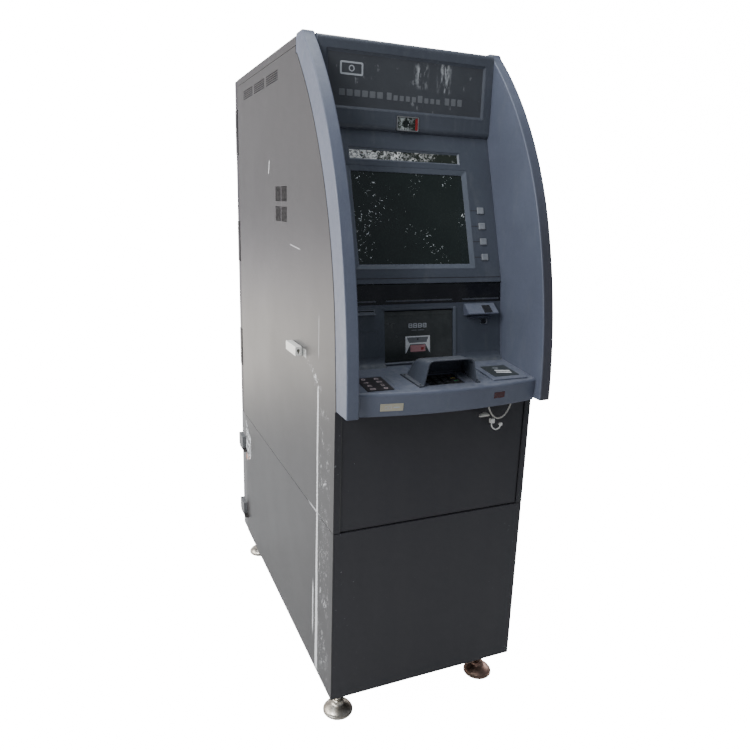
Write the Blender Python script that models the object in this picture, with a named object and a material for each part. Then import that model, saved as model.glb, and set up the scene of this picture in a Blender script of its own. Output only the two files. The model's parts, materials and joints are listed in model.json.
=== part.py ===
"""Free-standing cash recycling teller machine with a rear service door and a safe.

Metres, +Z up. The customer faces the machine from -Y. The origin is on the floor, under the middle of the
footprint. Every physical piece is one object, and every moving piece has its origin on its joint's axis.
"""
import math

import bmesh
import bpy
from mathutils import Matrix, Vector

# ---------------------------------------------------------------- driving dimensions
WIDTH = 0.530
DEPTH = 1.025
FRONT = -0.4915
CABINET_BOTTOM = 0.084
SEAM = 0.546
LID_TOP = 1.678
SHEET = 0.002
GAP = 0.0003
JOINT_GAP = 0.0015
CUTTER_OVERRUN = 0.002

HALF = WIDTH / 2
REAR = FRONT + DEPTH

SIDE_FLANGE = 0.0175
SAFE_FLANGE = 0.015
REAR_DOOR_THICK = 0.0395
SAFE_DOOR_THICK = 0.0615
LID_HEIGHT = 0.020

WING_WIDTH = 0.0295
WING_WALL = 0.004
WING_BOTTOM = 0.8507
WING_TOP = 1.683
INNER_HALF = HALF - WING_WIDTH - 0.0005

SCREEN_TILT = math.radians(18.05)
LOWER_TILT = math.radians(7.2)
SHELF_TILT = math.radians(6.15)
PANEL_THICK = 0.006

SCREEN_CENTRE = -0.003
SCREEN_WIDTH = 0.3048
SCREEN_HEIGHT = 0.2286
SCREEN_FOOT = 0.0483
MONITOR_PANEL_HEIGHT = 0.374
MONITOR_PANEL_BOTTOM = 1.1168

LOWER_PANEL_HEIGHT = 0.1482
BAND_HEIGHT = 0.0478
CASH_WINDOW_LEFT = -0.0963
CASH_WINDOW_RIGHT = 0.0927
CASH_WINDOW_FOOT = 0.006
CASH_WINDOW_TOP = 0.1325
COVER_GAP = 0.0006
COVER_THICK = 0.004

KEY_COLUMN = 0.1926
KEY_FIRST = 0.0641
KEY_PITCH = 0.0403
KEY_COUNT = 4
KEY_WIDTH = 0.019
KEY_HEIGHT = 0.017
KEY_PROUD = 0.0025

SHELF_HEIGHT = 0.056
SHELF_DEPTH = 0.1695
SHELF_WALL = 0.004
SHELF_BOW = 0.0205

HEADER_FACE = FRONT + 0.2385
HEADER_BOTTOM = 1.4735
HEADER_THICK = 0.012
SIGN_HALF = 0.207
SIGN_BOTTOM = 1.5256
SIGN_TOP = 1.636

SAFE_WALL = 0.012
SAFE_HALF = 0.2485
SAFE_BOTTOM = 0.0985
SAFE_TOP = 0.5440
BOLT_THROW = 0.018

FOOT_LEFT = -0.225
FOOT_RIGHT = 0.203
FOOT_FRONT = FRONT + 0.053
FOOT_REAR = FRONT + 0.9275
FOOT_RADIUS = 0.0395

# ---------------------------------------------------------------- frames of the tilted fronts
# In each of these, x is across the machine, y goes into it and z runs up the panel's face.
MONITOR_FRAME = (Matrix.Translation((0, FRONT + 0.130, MONITOR_PANEL_BOTTOM))
                 @ Matrix.Rotation(-SCREEN_TILT, 4, "X"))
LOWER_FRAME = (Matrix.Translation((0, FRONT + 0.1097, 0.9196))
               @ Matrix.Rotation(-LOWER_TILT, 4, "X"))
SHELF_FRAME = (Matrix.Translation((0, FRONT - 0.060, 0.9013))
               @ Matrix.Rotation(SHELF_TILT, 4, "X"))
UPRIGHT = Matrix.Identity(4)

# ---------------------------------------------------------------- joint axes
REAR_DOOR_PIVOT = Vector((-HALF + 0.0048, REAR - 0.0338, SEAM))
SAFE_DOOR_PIVOT = Vector((-HALF - 0.0062, REAR - 0.008, CABINET_BOTTOM))
LATCH_PIVOT = Vector((0.222, REAR, 1.120))
HANDLE_PIVOT = Vector((0.130, REAR, 0.300))
DIAL_PIVOT = Vector((0.130, REAR, 0.420))
BOLT_ORIGIN = Vector((0.175, REAR - 0.088, 0.320))
COVER_PIVOT = Vector((0, 0.003, 0.1280))

# ---------------------------------------------------------------- materials: colour, roughness, metallic
PAINTS = {
    "charcoal_paint": ((0.060, 0.062, 0.070), 0.45, 0.0),
    "fascia_plastic": ((0.150, 0.175, 0.215), 0.50, 0.0),
    "dark_fascia": ((0.080, 0.095, 0.120), 0.50, 0.0),
    "sign_face": ((0.045, 0.050, 0.055), 0.35, 0.0),
    "black_gloss": ((0.008, 0.008, 0.010), 0.08, 0.0),
    "dark_glass": ((0.010, 0.016, 0.014), 0.06, 0.0),
    "key_plastic": ((0.200, 0.215, 0.235), 0.45, 0.0),
    "light_guide": ((0.120, 0.130, 0.150), 0.25, 0.0),
    "smoked_plastic": ((0.040, 0.048, 0.046), 0.20, 0.0),
    "bright_steel": ((0.560, 0.550, 0.520), 0.30, 1.0),
    "zinc_steel": ((0.480, 0.490, 0.500), 0.40, 1.0),
    "safe_grey": ((0.230, 0.235, 0.240), 0.55, 0.0),
    "black_metal": ((0.030, 0.030, 0.032), 0.40, 0.5),
    "module_plastic": ((0.060, 0.065, 0.075), 0.55, 0.0),
    "white_plastic": ((0.800, 0.800, 0.770), 0.45, 0.0),
    "pale_cable": ((0.620, 0.610, 0.570), 0.55, 0.0),
}


def paint(name):
    """The material of this name, made the first time that it is asked for."""
    found = bpy.data.materials.get(name)
    if found:
        return found
    colour, roughness, metallic = PAINTS[name]
    material = bpy.data.materials.new(name)
    material.use_nodes = True
    shader = material.node_tree.nodes["Principled BSDF"]
    shader.inputs["Base Color"].default_value = (*colour, 1.0)
    shader.inputs["Roughness"].default_value = roughness
    shader.inputs["Metallic"].default_value = metallic
    material.diffuse_color = (*colour, 1.0)
    return material


# ---------------------------------------------------------------- solids
def rectangle(left, right, low, high):
    return [(left, low), (right, low), (right, high), (left, high)]


def circle(centre, radius, sides):
    turn = 2 * math.pi / sides
    return [(centre[0] + radius * math.cos(i * turn), centre[1] + radius * math.sin(i * turn))
            for i in range(sides)]


def in_space(point, axis, along):
    """A point of a flat outline, placed at a distance along the axis that the outline is extruded on."""
    if axis == "X":
        return (along, point[0], point[1])
    if axis == "Y":
        return (point[0], along, point[1])
    return (point[0], point[1], along)


def add_prism(bm, outline, axis, low, high):
    near = [bm.verts.new(in_space(p, axis, low)) for p in outline]
    far = [bm.verts.new(in_space(p, axis, high)) for p in outline]
    bm.faces.new(near)
    bm.faces.new(far)
    for i in range(len(outline)):
        j = (i + 1) % len(outline)
        bm.faces.new((near[i], near[j], far[j], far[i]))


def add_loft(bm, rings):
    """A closed solid through rings of points that all have the same number of points."""
    levels = [[bm.verts.new(p) for p in ring] for ring in rings]
    count = len(levels[0])
    bm.faces.new(levels[0])
    bm.faces.new(levels[-1])
    for lower, upper in zip(levels, levels[1:]):
        for i in range(count):
            j = (i + 1) % count
            bm.faces.new((lower[i], lower[j], upper[j], upper[i]))


def to_object(name, bm, paint_name=None, frame=UPRIGHT, pivot=(0, 0, 0)):
    """An object from a bmesh drawn in a frame's own axes, with its origin at the pivot point of that frame.

    Without a paint it is a cutter or a piece to be joined, which is never part of the result by itself.
    """
    bmesh.ops.recalc_face_normals(bm, faces=bm.faces)
    bmesh.ops.translate(bm, verts=bm.verts, vec=-Vector(pivot))
    mesh = bpy.data.meshes.new(name)
    bm.to_mesh(mesh)
    bm.free()
    obj = bpy.data.objects.new(name, mesh)
    bpy.context.scene.collection.objects.link(obj)
    obj.matrix_world = frame @ Matrix.Translation(pivot)
    if paint_name:
        mesh.materials.append(paint(paint_name))
    else:
        obj.hide_render = True
        obj.display_type = "WIRE"
    return obj


def prism(name, outline, axis, low, high, paint_name=None, frame=UPRIGHT, pivot=(0, 0, 0)):
    bm = bmesh.new()
    add_prism(bm, outline, axis, low, high)
    return to_object(name, bm, paint_name, frame, pivot)


def block(name, low, high, paint_name=None, frame=UPRIGHT, pivot=(0, 0, 0)):
    outline = rectangle(low[0], high[0], low[1], high[1])
    return prism(name, outline, "Z", low[2], high[2], paint_name, frame, pivot)


def blocks(name, boxes, frame=UPRIGHT, pivot=(0, 0, 0)):
    """One cutter made of several boxes that don't meet."""
    bm = bmesh.new()
    for low, high in boxes:
        add_prism(bm, rectangle(low[0], high[0], low[1], high[1]), "Z", low[2], high[2])
    return to_object(name, bm, None, frame, pivot)


def disc(name, centre, radius, axis, low, high, paint_name=None, sides=24, frame=UPRIGHT, pivot=(0, 0, 0)):
    return prism(name, circle(centre, radius, sides), axis, low, high, paint_name, frame, pivot)


def boolean(target, other, operation):
    modifier = target.modifiers.new(operation.lower(), "BOOLEAN")
    modifier.operation = operation
    modifier.solver = "EXACT"
    modifier.object = other


def cut(target, *cutters):
    for cutter in cutters:
        boolean(target, cutter, "DIFFERENCE")
    return target


def join(target, *others):
    for other in others:
        boolean(target, other, "UNION")
    return target


def rounded(target, width, segments=2):
    modifier = target.modifiers.new("rounded", "BEVEL")
    modifier.width = width
    modifier.segments = segments
    modifier.limit_method = "ANGLE"
    modifier.angle_limit = math.radians(50)
    return target


def carry(child, parent):
    """Parents a piece to the one that it is mounted on, without moving it."""
    child.parent = parent
    child.matrix_parent_inverse = parent.matrix_world.inverted()


def inset(outline, distance):
    """The outline moved inwards by a distance, for an outline that runs anticlockwise."""
    moved = []
    count = len(outline)
    for i, point in enumerate(outline):
        before = Vector(point) - Vector(outline[i - 1])
        after = Vector(outline[(i + 1) % count]) - Vector(point)
        normal_in = Vector((-before.y, before.x)).normalized()
        normal_out = Vector((-after.y, after.x)).normalized()
        bisector = (normal_in + normal_out).normalized()
        reach = distance / max(0.3, bisector.dot(normal_in))
        moved.append(tuple(Vector(point) + bisector * reach))
    return moved


# ---------------------------------------------------------------- curves of the fascia's side mouldings
def leaning_curve(start_y, start_z, lean, stretches, steps):
    """Points up a curve that leans further back as it rises: each stretch has a radius and a top height."""
    points = [(start_y, start_z)]
    y, z = start_y, start_z
    for radius, top in stretches:
        first_lean = lean
        last_lean = math.asin(math.sin(lean) + (top - z) / radius)
        for i in range(1, steps + 1):
            turned = first_lean + (last_lean - first_lean) * i / steps
            points.append((y + radius * (math.cos(first_lean) - math.cos(turned)),
                           z + radius * (math.sin(turned) - math.sin(first_lean))))
        y, z = points[-1]
        lean = last_lean
    return points


WING_FRONT_CURVE = leaning_curve(FRONT - 0.0727, WING_BOTTOM, 0.0, [(1.381, 1.269), (0.921, 1.672)], 7)
WING_REAR_CURVE = leaning_curve(FRONT - 0.0090, WING_BOTTOM, math.radians(4.0),
                                [(9.470, 1.026), (0.969, 1.640)], 7)
WING_BACK = FRONT + 0.3100


# ---------------------------------------------------------------- sheet metal of the cabinet
def side_panel_outline():
    curve = [(y + JOINT_GAP, z) for y, z in WING_REAR_CURVE]
    step = WING_REAR_CURVE[-1][1] - JOINT_GAP
    curve[-1] = (curve[-1][0], step)
    bottom = SEAM + JOINT_GAP / 2
    top = LID_TOP - LID_HEIGHT - JOINT_GAP
    rear = REAR - REAR_DOOR_THICK - 0.003
    outline = [(FRONT, bottom), (rear, bottom), (rear, top), (WING_BACK + JOINT_GAP, top),
               (WING_BACK + JOINT_GAP, step)]
    outline += reversed(curve)
    outline.append((FRONT, WING_BOTTOM - JOINT_GAP))
    return outline


def vent_boxes(side):
    """Slots of the three vent groups near the lid and of the four panels below them."""
    inner = side * (HALF - SHEET - CUTTER_OVERRUN)
    outer = side * (HALF + CUTTER_OVERRUN)
    low_x, high_x = min(inner, outer), max(inner, outer)
    boxes = []
    for group in range(3):
        group_rear = REAR - 0.132 - group * 0.1455
        for row in range(4):
            z = 1.6055 + row * 0.0075
            boxes.append(((low_x, group_rear - 0.125, z), (high_x, group_rear, z + 0.0045)))
    for column in range(2):
        panel_rear = REAR - 0.518 - column * 0.060
        for tier in range(2):
            for row in range(4):
                z = 1.2500 + tier * 0.052 + row * 0.0105
                boxes.append(((low_x, panel_rear - 0.055, z), (high_x, panel_rear, z + 0.0065)))
    return boxes


def side_panel(name, side):
    outline = side_panel_outline()
    outer = sorted((side * HALF, side * (HALF - SIDE_FLANGE)))
    inner = sorted((side * (HALF - SHEET), side * (HALF - SIDE_FLANGE - CUTTER_OVERRUN)))
    panel = prism(name, outline, "X", *outer, "charcoal_paint")
    hollow = prism(name + "_hollow", inset(outline, SHEET), "X", *inner)
    cut(panel, hollow, blocks(name + "_vents", vent_boxes(side)))
    return panel


HINGE_HEIGHTS = ((0.7235, 0.857), (1.096, 1.2305), (1.448, 1.588))


def add_rear_hinges(panel):
    """Hinge barrels for the rear door, welded to the left side panel's rear flange."""
    x, y = REAR_DOOR_PIVOT.x, REAR_DOOR_PIVOT.y
    for i, (low, high) in enumerate(HINGE_HEIGHTS):
        barrel = disc(f"rear_hinge_barrel_{i}", (x, y), 0.004, "Z", low + 0.003, high - 0.003, None, 12)
        leaf = block(f"rear_hinge_leaf_{i}", (x - 0.0012, REAR - REAR_DOOR_THICK - 0.0045, low + 0.006),
                     (x + 0.0012, y, high - 0.006))
        join(panel, leaf, barrel)


def make_side_panels():
    left = side_panel("left_side_panel", -1)
    add_rear_hinges(left)
    side_panel("right_side_panel", 1)


def make_top_cover():
    """Folded lid, a shallow tray that opens downwards."""
    front = WING_BACK + 0.0025
    rear = REAR - REAR_DOOR_THICK - 0.003
    low = LID_TOP - LID_HEIGHT
    lid = block("top_cover", (-HALF, front, low), (HALF, rear, LID_TOP), "charcoal_paint")
    hollow = block("top_cover_hollow", (-HALF + SHEET, front + SHEET, low - CUTTER_OVERRUN),
                   (HALF - SHEET, rear - SHEET, LID_TOP - SHEET))
    cut(lid, hollow)


def make_upper_front_panel():
    """Recessed panel between the shelf and the seam, with flanges folded inwards."""
    side = HALF - SIDE_FLANGE - 0.0005
    low, high = SEAM + JOINT_GAP, WING_BOTTOM - 0.003
    face = FRONT + 0.003
    panel = block("upper_front_panel", (-side, face, low), (side, face + 0.015, high), "charcoal_paint")
    hollow = block("upper_front_panel_hollow", (-side + SHEET, face + SHEET, low + SHEET),
                   (side - SHEET, face + 0.015 + CUTTER_OVERRUN, high - SHEET))
    cut(panel, hollow)


def make_lower_front_panel():
    side = HALF - SHEET - GAP
    low, high = CABINET_BOTTOM, SEAM - JOINT_GAP / 2
    panel = block("lower_front_panel", (-side, FRONT, low), (side, FRONT + 0.018, high), "charcoal_paint")
    hollow = block("lower_front_panel_hollow", (-side + SHEET, FRONT + SHEET, low + SHEET),
                   (side - SHEET, FRONT + 0.018 + CUTTER_OVERRUN, high - SHEET))
    cut(panel, hollow)


SAFE_HINGE_BLOCKS = ((0.1490, 0.1930), (0.4130, 0.4570))
EAR_THICK = 0.006


def add_safe_hinge_ears(cladding):
    """Ears with upright pins, which carry the safe door's hinge blocks."""
    x, y = SAFE_DOOR_PIVOT.x, SAFE_DOOR_PIVOT.y
    rear = REAR - SAFE_DOOR_THICK - 0.001
    for i, (low, high) in enumerate(SAFE_HINGE_BLOCKS):
        top = low - 0.0006
        arm = block(f"ear_arm_{i}", (x - 0.0060, rear - 0.020, top - EAR_THICK), (x + 0.0055, y, top))
        weld = block(f"ear_weld_{i}", (x, rear - 0.020, top - EAR_THICK),
                     (-HALF + SHEET - 0.0005, rear - 0.0015, top))
        eye = disc(f"ear_eye_{i}", (x, y), 0.0060, "Z", top - EAR_THICK, top, None, 16)
        pin = disc(f"ear_pin_{i}", (x, y), 0.0028, "Z", top - 0.003, high - 0.004, None, 12)
        join(cladding, arm, weld, eye, pin)


def safe_cladding(name, side):
    """Thin steel cover beside the safe. Its front edge is left plain, so that the front panel fits inside."""
    low, high = CABINET_BOTTOM, SEAM - JOINT_GAP / 2
    rear = REAR - SAFE_DOOR_THICK - 0.001
    outer = sorted((side * HALF, side * (HALF - SAFE_FLANGE)))
    inner = sorted((side * (HALF - SHEET), side * (HALF - SAFE_FLANGE - CUTTER_OVERRUN)))
    cladding = prism(name, rectangle(FRONT, rear, low, high), "X", *outer, "charcoal_paint")
    hollow = prism(name + "_hollow", rectangle(FRONT + 0.0205, rear - SHEET, low + SHEET, high - SHEET),
                   "X", *inner)
    mouth = prism(name + "_mouth", rectangle(FRONT - CUTTER_OVERRUN, FRONT + 0.0185, low - 0.01, high + 0.01),
                  "X", *inner)
    return cut(cladding, hollow, mouth)


def make_safe_claddings():
    left = safe_cladding("left_safe_cladding", -1)
    add_safe_hinge_ears(left)
    safe_cladding("right_safe_cladding", 1)


def make_upper_frame():
    """Welded frame of square bar that carries the modules of the upper cabinet."""
    bar = 0.020
    half = HALF - SIDE_FLANGE - 0.002
    front, rear = FRONT + 0.335, REAR - REAR_DOOR_THICK - 0.006
    low, high = SEAM + JOINT_GAP, 1.650
    frame = block("upper_frame", (-half, front, low), (half, rear, high), "zinc_steel")
    over = CUTTER_OVERRUN
    cut(frame,
        block("upper_frame_x", (-half - over, front + bar, low + bar), (half + over, rear - bar, high - bar)),
        block("upper_frame_y", (-half + bar, front - over, low + bar), (half - bar, rear + over, high - bar)),
        block("upper_frame_z", (-half + bar, front + bar, low - over), (half - bar, rear - bar, high + over)))


# ---------------------------------------------------------------- fascia
def wing_outline():
    """The slab of a side moulding, seen from the side, anticlockwise from its lower front corner."""
    back = [(FRONT + 0.120, WING_BOTTOM), (FRONT + 0.128, 0.925), (FRONT + 0.152, 1.100),
            (FRONT + 0.256, 1.462), (WING_BACK, 1.640), (WING_BACK, WING_TOP), (FRONT + 0.262, WING_TOP)]
    return back + list(reversed(WING_FRONT_CURVE))


def wing(name, side):
    """Moulded side of the fascia: outer skin, rounded front face and a deep inner wall, open at the back."""
    outline = wing_outline()
    outer = sorted((side * HALF, side * (HALF - WING_WIDTH)))
    moulding = rounded(prism(name, outline, "X", *outer, "fascia_plastic"), 0.004)
    notch = sorted((side * (HALF + CUTTER_OVERRUN), side * (HALF - WING_WIDTH + WING_WALL)))
    behind = [(y, z) for y, z in WING_REAR_CURVE] + [(WING_BACK - 0.0005, 1.640), (WING_BACK - 0.0005, 1.700),
                                                     (WING_BACK + 0.02, 1.700), (WING_BACK + 0.02, 0.800),
                                                     (FRONT - 0.0090, 0.800)]
    channel = sorted((side * (HALF - WING_WALL), side * (HALF - WING_WIDTH + WING_WALL)))
    front = [(y + WING_WALL, z) for y, z in WING_FRONT_CURVE]
    cavity = ([(WING_BACK + 0.01, WING_BOTTOM + WING_WALL), (WING_BACK + 0.01, WING_TOP - WING_WALL),
               (FRONT + 0.262, WING_TOP - WING_WALL)]
              + list(reversed(front))[1:-1] + [(front[0][0], WING_BOTTOM + WING_WALL)])
    cut(moulding, prism(name + "_behind", behind, "X", *notch), prism(name + "_cavity", cavity, "X", *channel))


def make_header():
    """Moulded header over the screen, with the sign's pocket and the camera's window."""
    face, low, thick = HEADER_FACE, HEADER_BOTTOM, HEADER_THICK
    top = LID_TOP - 0.0025
    back = WING_BACK + 0.0015
    outline = [(face + 0.008, low), (face + thick, low), (face + thick, top - 0.004), (back, top - 0.004),
               (back, top), (face + 0.006, top), (face + 0.0018, top - 0.0018), (face, top - 0.006),
               (face, low + 0.008), (face + 0.0024, low + 0.0024)]
    header = prism("header", outline, "X", -INNER_HALF, INNER_HALF, "dark_fascia")
    border = 0.0065
    sign_pocket = block("sign_pocket", (-SIGN_HALF - border, face - CUTTER_OVERRUN, SIGN_BOTTOM - border),
                        (SIGN_HALF + border, face + 0.006, SIGN_TOP + border + 0.004))
    window = block("camera_hole", (-0.030, face - CUTTER_OVERRUN, 1.4785),
                   (0.030, face + thick + CUTTER_OVERRUN, 1.5125))
    cut(header, sign_pocket, window)
    block("sign_panel", (-SIGN_HALF - border + 0.0005, face + 0.0030, SIGN_BOTTOM - border + 0.0005),
          (SIGN_HALF + border - 0.0005, face + 0.006 - GAP, SIGN_TOP + border + 0.0035), "sign_face")


def make_camera():
    """Customer camera: a window in the header with the lens body behind it."""
    face = HEADER_FACE
    body = block("camera", (-0.0295, face + 0.0005, 1.4790), (0.0295, face + 0.014, 1.5120), "black_gloss")
    housing = block("camera_housing", (-0.024, face + 0.013, 1.4800), (0.024, face + 0.050, 1.5110))
    hood = disc("camera_lens_hole", (0, 1.4955), 0.009, "Y", face - 0.001, face + 0.005, None, 20)
    join(body, housing)
    cut(body, hood)


def monitor_boxes():
    """Openings of the monitor panel: screen, observation slit and the sleeves of the function keys."""
    left, right = SCREEN_CENTRE - SCREEN_WIDTH / 2, SCREEN_CENTRE + SCREEN_WIDTH / 2
    through = (-0.01, PANEL_THICK + CUTTER_OVERRUN)
    boxes = [((left, through[0], SCREEN_FOOT), (right, through[1], SCREEN_FOOT + SCREEN_HEIGHT)),
             ((-0.155, through[0], 0.3075), (0.141, through[1], 0.3290))]
    for side in (-1, 1):
        for i in range(KEY_COUNT):
            x, z = side * KEY_COLUMN, KEY_FIRST + i * KEY_PITCH
            boxes.append(((x - KEY_WIDTH / 2 - 0.0005, through[0], z - KEY_HEIGHT / 2 - 0.0005),
                          (x + KEY_WIDTH / 2 + 0.0005, through[1], z + KEY_HEIGHT / 2 + 0.0005)))
    return boxes


def make_monitor_group():
    """Sloping panel around the screen, with the glass, the display unit, and a slit window above."""
    panel = block("monitor_panel", (-INNER_HALF, 0, 0), (INNER_HALF, PANEL_THICK, MONITOR_PANEL_HEIGHT),
                  "fascia_plastic", MONITOR_FRAME)
    cut(panel, blocks("monitor_openings", monitor_boxes(), MONITOR_FRAME))
    half, foot = SCREEN_WIDTH / 2 + 0.005, SCREEN_FOOT - 0.005
    head = SCREEN_FOOT + SCREEN_HEIGHT + 0.005
    behind = PANEL_THICK + GAP
    block("screen_glass", (SCREEN_CENTRE - half, behind, foot), (SCREEN_CENTRE + half, behind + 0.003, head),
          "dark_glass", MONITOR_FRAME)
    block("slit_window", (-0.159, behind, 0.3040), (0.145, behind + 0.003, 0.3325), "dark_glass", MONITOR_FRAME)
    unit = block("monitor", (SCREEN_CENTRE - half - 0.006, 0.010, foot - 0.008),
                 (SCREEN_CENTRE + half + 0.006, 0.045, head + 0.008), "black_metal", MONITOR_FRAME)
    board = block("monitor_board", (SCREEN_CENTRE - 0.110, 0.044, foot + 0.03),
                  (SCREEN_CENTRE + 0.110, 0.058, head - 0.05), None, MONITOR_FRAME)
    join(unit, board)


def make_function_keys():
    for side, word in ((-1, "left"), (1, "right")):
        for i in range(KEY_COUNT):
            x, z = side * KEY_COLUMN, KEY_FIRST + (KEY_COUNT - 1 - i) * KEY_PITCH
            block(f"function_key_{word}_{i + 1}", (x - KEY_WIDTH / 2, -KEY_PROUD, z - KEY_HEIGHT / 2),
                  (x + KEY_WIDTH / 2, PANEL_THICK + 0.003, z + KEY_HEIGHT / 2), "key_plastic", MONITOR_FRAME,
                  (x, 0, z))


GUIDE_SPANS = ((-0.207, -0.1175), (-0.0919, 0.0910), (0.1201, 0.2297))


def make_status_band():
    """Glossy band under the screen, with three light guides that point at the modules below."""
    low, high = LOWER_PANEL_HEIGHT + 0.0005, LOWER_PANEL_HEIGHT + BAND_HEIGHT
    band = block("status_band", (-INNER_HALF, -0.001, low), (INNER_HALF, 0.007, high), "black_gloss", LOWER_FRAME)
    holes = [((a - 0.0003, -0.01, low + 0.0045), (b + 0.0003, 0.02, low + 0.0095)) for a, b in GUIDE_SPANS]
    cut(band, blocks("guide_holes", holes, LOWER_FRAME))
    guide = block("light_guide", (-0.212, 0.007 + GAP, low + 0.002), (0.2335, 0.011, low + 0.012),
                  "light_guide", LOWER_FRAME)
    for i, (a, b) in enumerate(GUIDE_SPANS):
        join(guide, block(f"guide_tooth_{i}", (a, -0.0012, low + 0.0048), (b, 0.009, low + 0.0092), None,
                          LOWER_FRAME))


RECEIPT_LEFT, RECEIPT_RIGHT, RECEIPT_FOOT = -0.207, -0.1215, 0.1235
CARD_LEFT, CARD_RIGHT, CARD_SLOT_FOOT = 0.125, 0.213, 0.1085


def make_lower_panel():
    """Panel behind the shelf with the openings for cash, receipt and card."""
    panel = block("lower_panel", (-INNER_HALF, 0, 0), (INNER_HALF, PANEL_THICK, LOWER_PANEL_HEIGHT),
                  "dark_fascia", LOWER_FRAME)
    far = PANEL_THICK + CUTTER_OVERRUN
    boxes = [((CASH_WINDOW_LEFT, -0.01, CASH_WINDOW_FOOT), (CASH_WINDOW_RIGHT, far, CASH_WINDOW_TOP)),
             ((RECEIPT_LEFT - 0.0005, -0.01, RECEIPT_FOOT - 0.0005),
              (RECEIPT_RIGHT + 0.0005, far, RECEIPT_FOOT + 0.0135)),
             ((CARD_LEFT + 0.0035, -0.01, CARD_SLOT_FOOT - 0.006), (CARD_RIGHT - 0.0035, far, 0.1300))]
    cut(panel, blocks("lower_openings", boxes, LOWER_FRAME))


def make_receipt_printer():
    """Receipt printer, whose mouth passes through the panel over a short ledge."""
    mouth = block("receipt_printer", (RECEIPT_LEFT, -0.0015, RECEIPT_FOOT),
                  (RECEIPT_RIGHT, 0.0300, RECEIPT_FOOT + 0.0130), "dark_fascia", LOWER_FRAME)
    ledge = block("receipt_ledge", (RECEIPT_LEFT, -0.0085, RECEIPT_FOOT + 0.0006),
                  (RECEIPT_RIGHT, 0.002, RECEIPT_FOOT + 0.0036), None, LOWER_FRAME)
    body = block("receipt_body", (-0.214, 0.0290, 0.020), (-0.118, 0.200, 0.1420), None, LOWER_FRAME)
    slot = block("receipt_slot", (RECEIPT_LEFT + 0.003, -0.01, RECEIPT_FOOT + 0.0040),
                 (RECEIPT_RIGHT - 0.003, 0.060, RECEIPT_FOOT + 0.0108), None, LOWER_FRAME)
    join(mouth, ledge, body)
    cut(mouth, slot)


def make_cash_cover():
    """Cover that a hand pushes inwards. It hangs on a line near its upper edge."""
    cover = block("cash_cover", (CASH_WINDOW_LEFT + COVER_GAP, 0.0010, CASH_WINDOW_FOOT + COVER_GAP),
                  (CASH_WINDOW_RIGHT - COVER_GAP, 0.0010 + COVER_THICK, COVER_PIVOT.z + 0.002),
                  "smoked_plastic", LOWER_FRAME, COVER_PIVOT)
    return cover


def make_cash_pocket():
    """Pocket behind the cover, with a slit at the back through which the notes arrive."""
    front, depth, wall = PANEL_THICK + GAP, 0.126, 0.003
    low, high = (-0.1065, front, -0.012), (0.1030, front + depth, 0.1400)
    pocket = block("cash_pocket", low, high, "module_plastic", LOWER_FRAME)
    hollow = block("cash_pocket_hollow", (low[0] + wall, front - 0.01, low[2] + wall),
                   (high[0] - wall, high[1] - wall, high[2] - wall), None, LOWER_FRAME)
    slit = block("cash_pocket_slit", (-0.085, high[1] - 0.01, 0.020), (0.082, high[1] + 0.01, 0.034), None,
                 LOWER_FRAME)
    cut(pocket, hollow, slit)


def make_card_reader():
    """Card throat with a sloping visor, and the reader behind it."""
    inset_x = 0.0040
    bezel = prism("card_throat", [(-0.0003, 0.0990), (-0.0003, 0.1440), (-0.0020, 0.1440), (-0.0275, 0.1195),
                                  (-0.0275, 0.1140), (-0.0050, 0.1140), (-0.0050, 0.1060),
                                  (-0.0200, 0.1050), (-0.0200, 0.1015), (-0.0060, 0.0990)],
                  "X", CARD_LEFT, CARD_RIGHT, "fascia_plastic", LOWER_FRAME)
    sleeve = block("card_sleeve", (CARD_LEFT + inset_x, -0.001, CARD_SLOT_FOOT - 0.0055),
                   (CARD_RIGHT - inset_x, 0.0280, 0.1295), None, LOWER_FRAME)
    slot = block("card_slot", (CARD_LEFT + 0.014, -0.03, 0.1087), (CARD_RIGHT - 0.014, 0.05, 0.1133), None,
                 LOWER_FRAME)
    join(bezel, sleeve)
    cut(bezel, slot)
    body = block("card_reader", (CARD_LEFT - 0.003, 0.0283, 0.072), (CARD_RIGHT + 0.004, 0.190, 0.1420),
                 "module_plastic", LOWER_FRAME)
    cut(body, block("card_path", (CARD_LEFT + 0.014, 0.02, 0.1080), (CARD_RIGHT - 0.014, 0.120, 0.1140), None,
                    LOWER_FRAME))


# ---------------------------------------------------------------- shelf
WELL = (-0.047, 0.049, 0.0215, 0.0925)
HOOD_CENTRE = 0.002
SHELF_FRONT = 0.008


def shelf_outline(margin):
    """Plan of the shelf: straight sides and back, and a front edge bowed towards the customer."""
    side = INNER_HALF - margin
    back = SHELF_DEPTH - margin
    steps = 12
    bow = [(side * (1 - 2 * i / steps),
            SHELF_FRONT - SHELF_BOW * (1 - (1 - 2 * i / steps) ** 2) + margin) for i in range(steps + 1)]
    return [(-side, back)] + list(reversed(bow)) + [(side, back)]


def make_shelf():
    """Bowed shelf moulding, hollow from below, with the keypad's well in its top."""
    shelf = prism("shelf", shelf_outline(0), "Z", -SHELF_HEIGHT, 0, "fascia_plastic", SHELF_FRAME)
    rounded(shelf, 0.004)
    hollow = prism("shelf_hollow", shelf_outline(SHELF_WALL), "Z", -SHELF_HEIGHT - 0.01, -SHELF_WALL, None,
                   SHELF_FRAME)
    well = block("keypad_well", (WELL[0], WELL[2], -0.02), (WELL[1], WELL[3], 0.01), None, SHELF_FRAME)
    cut(shelf, hollow, well)


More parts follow.
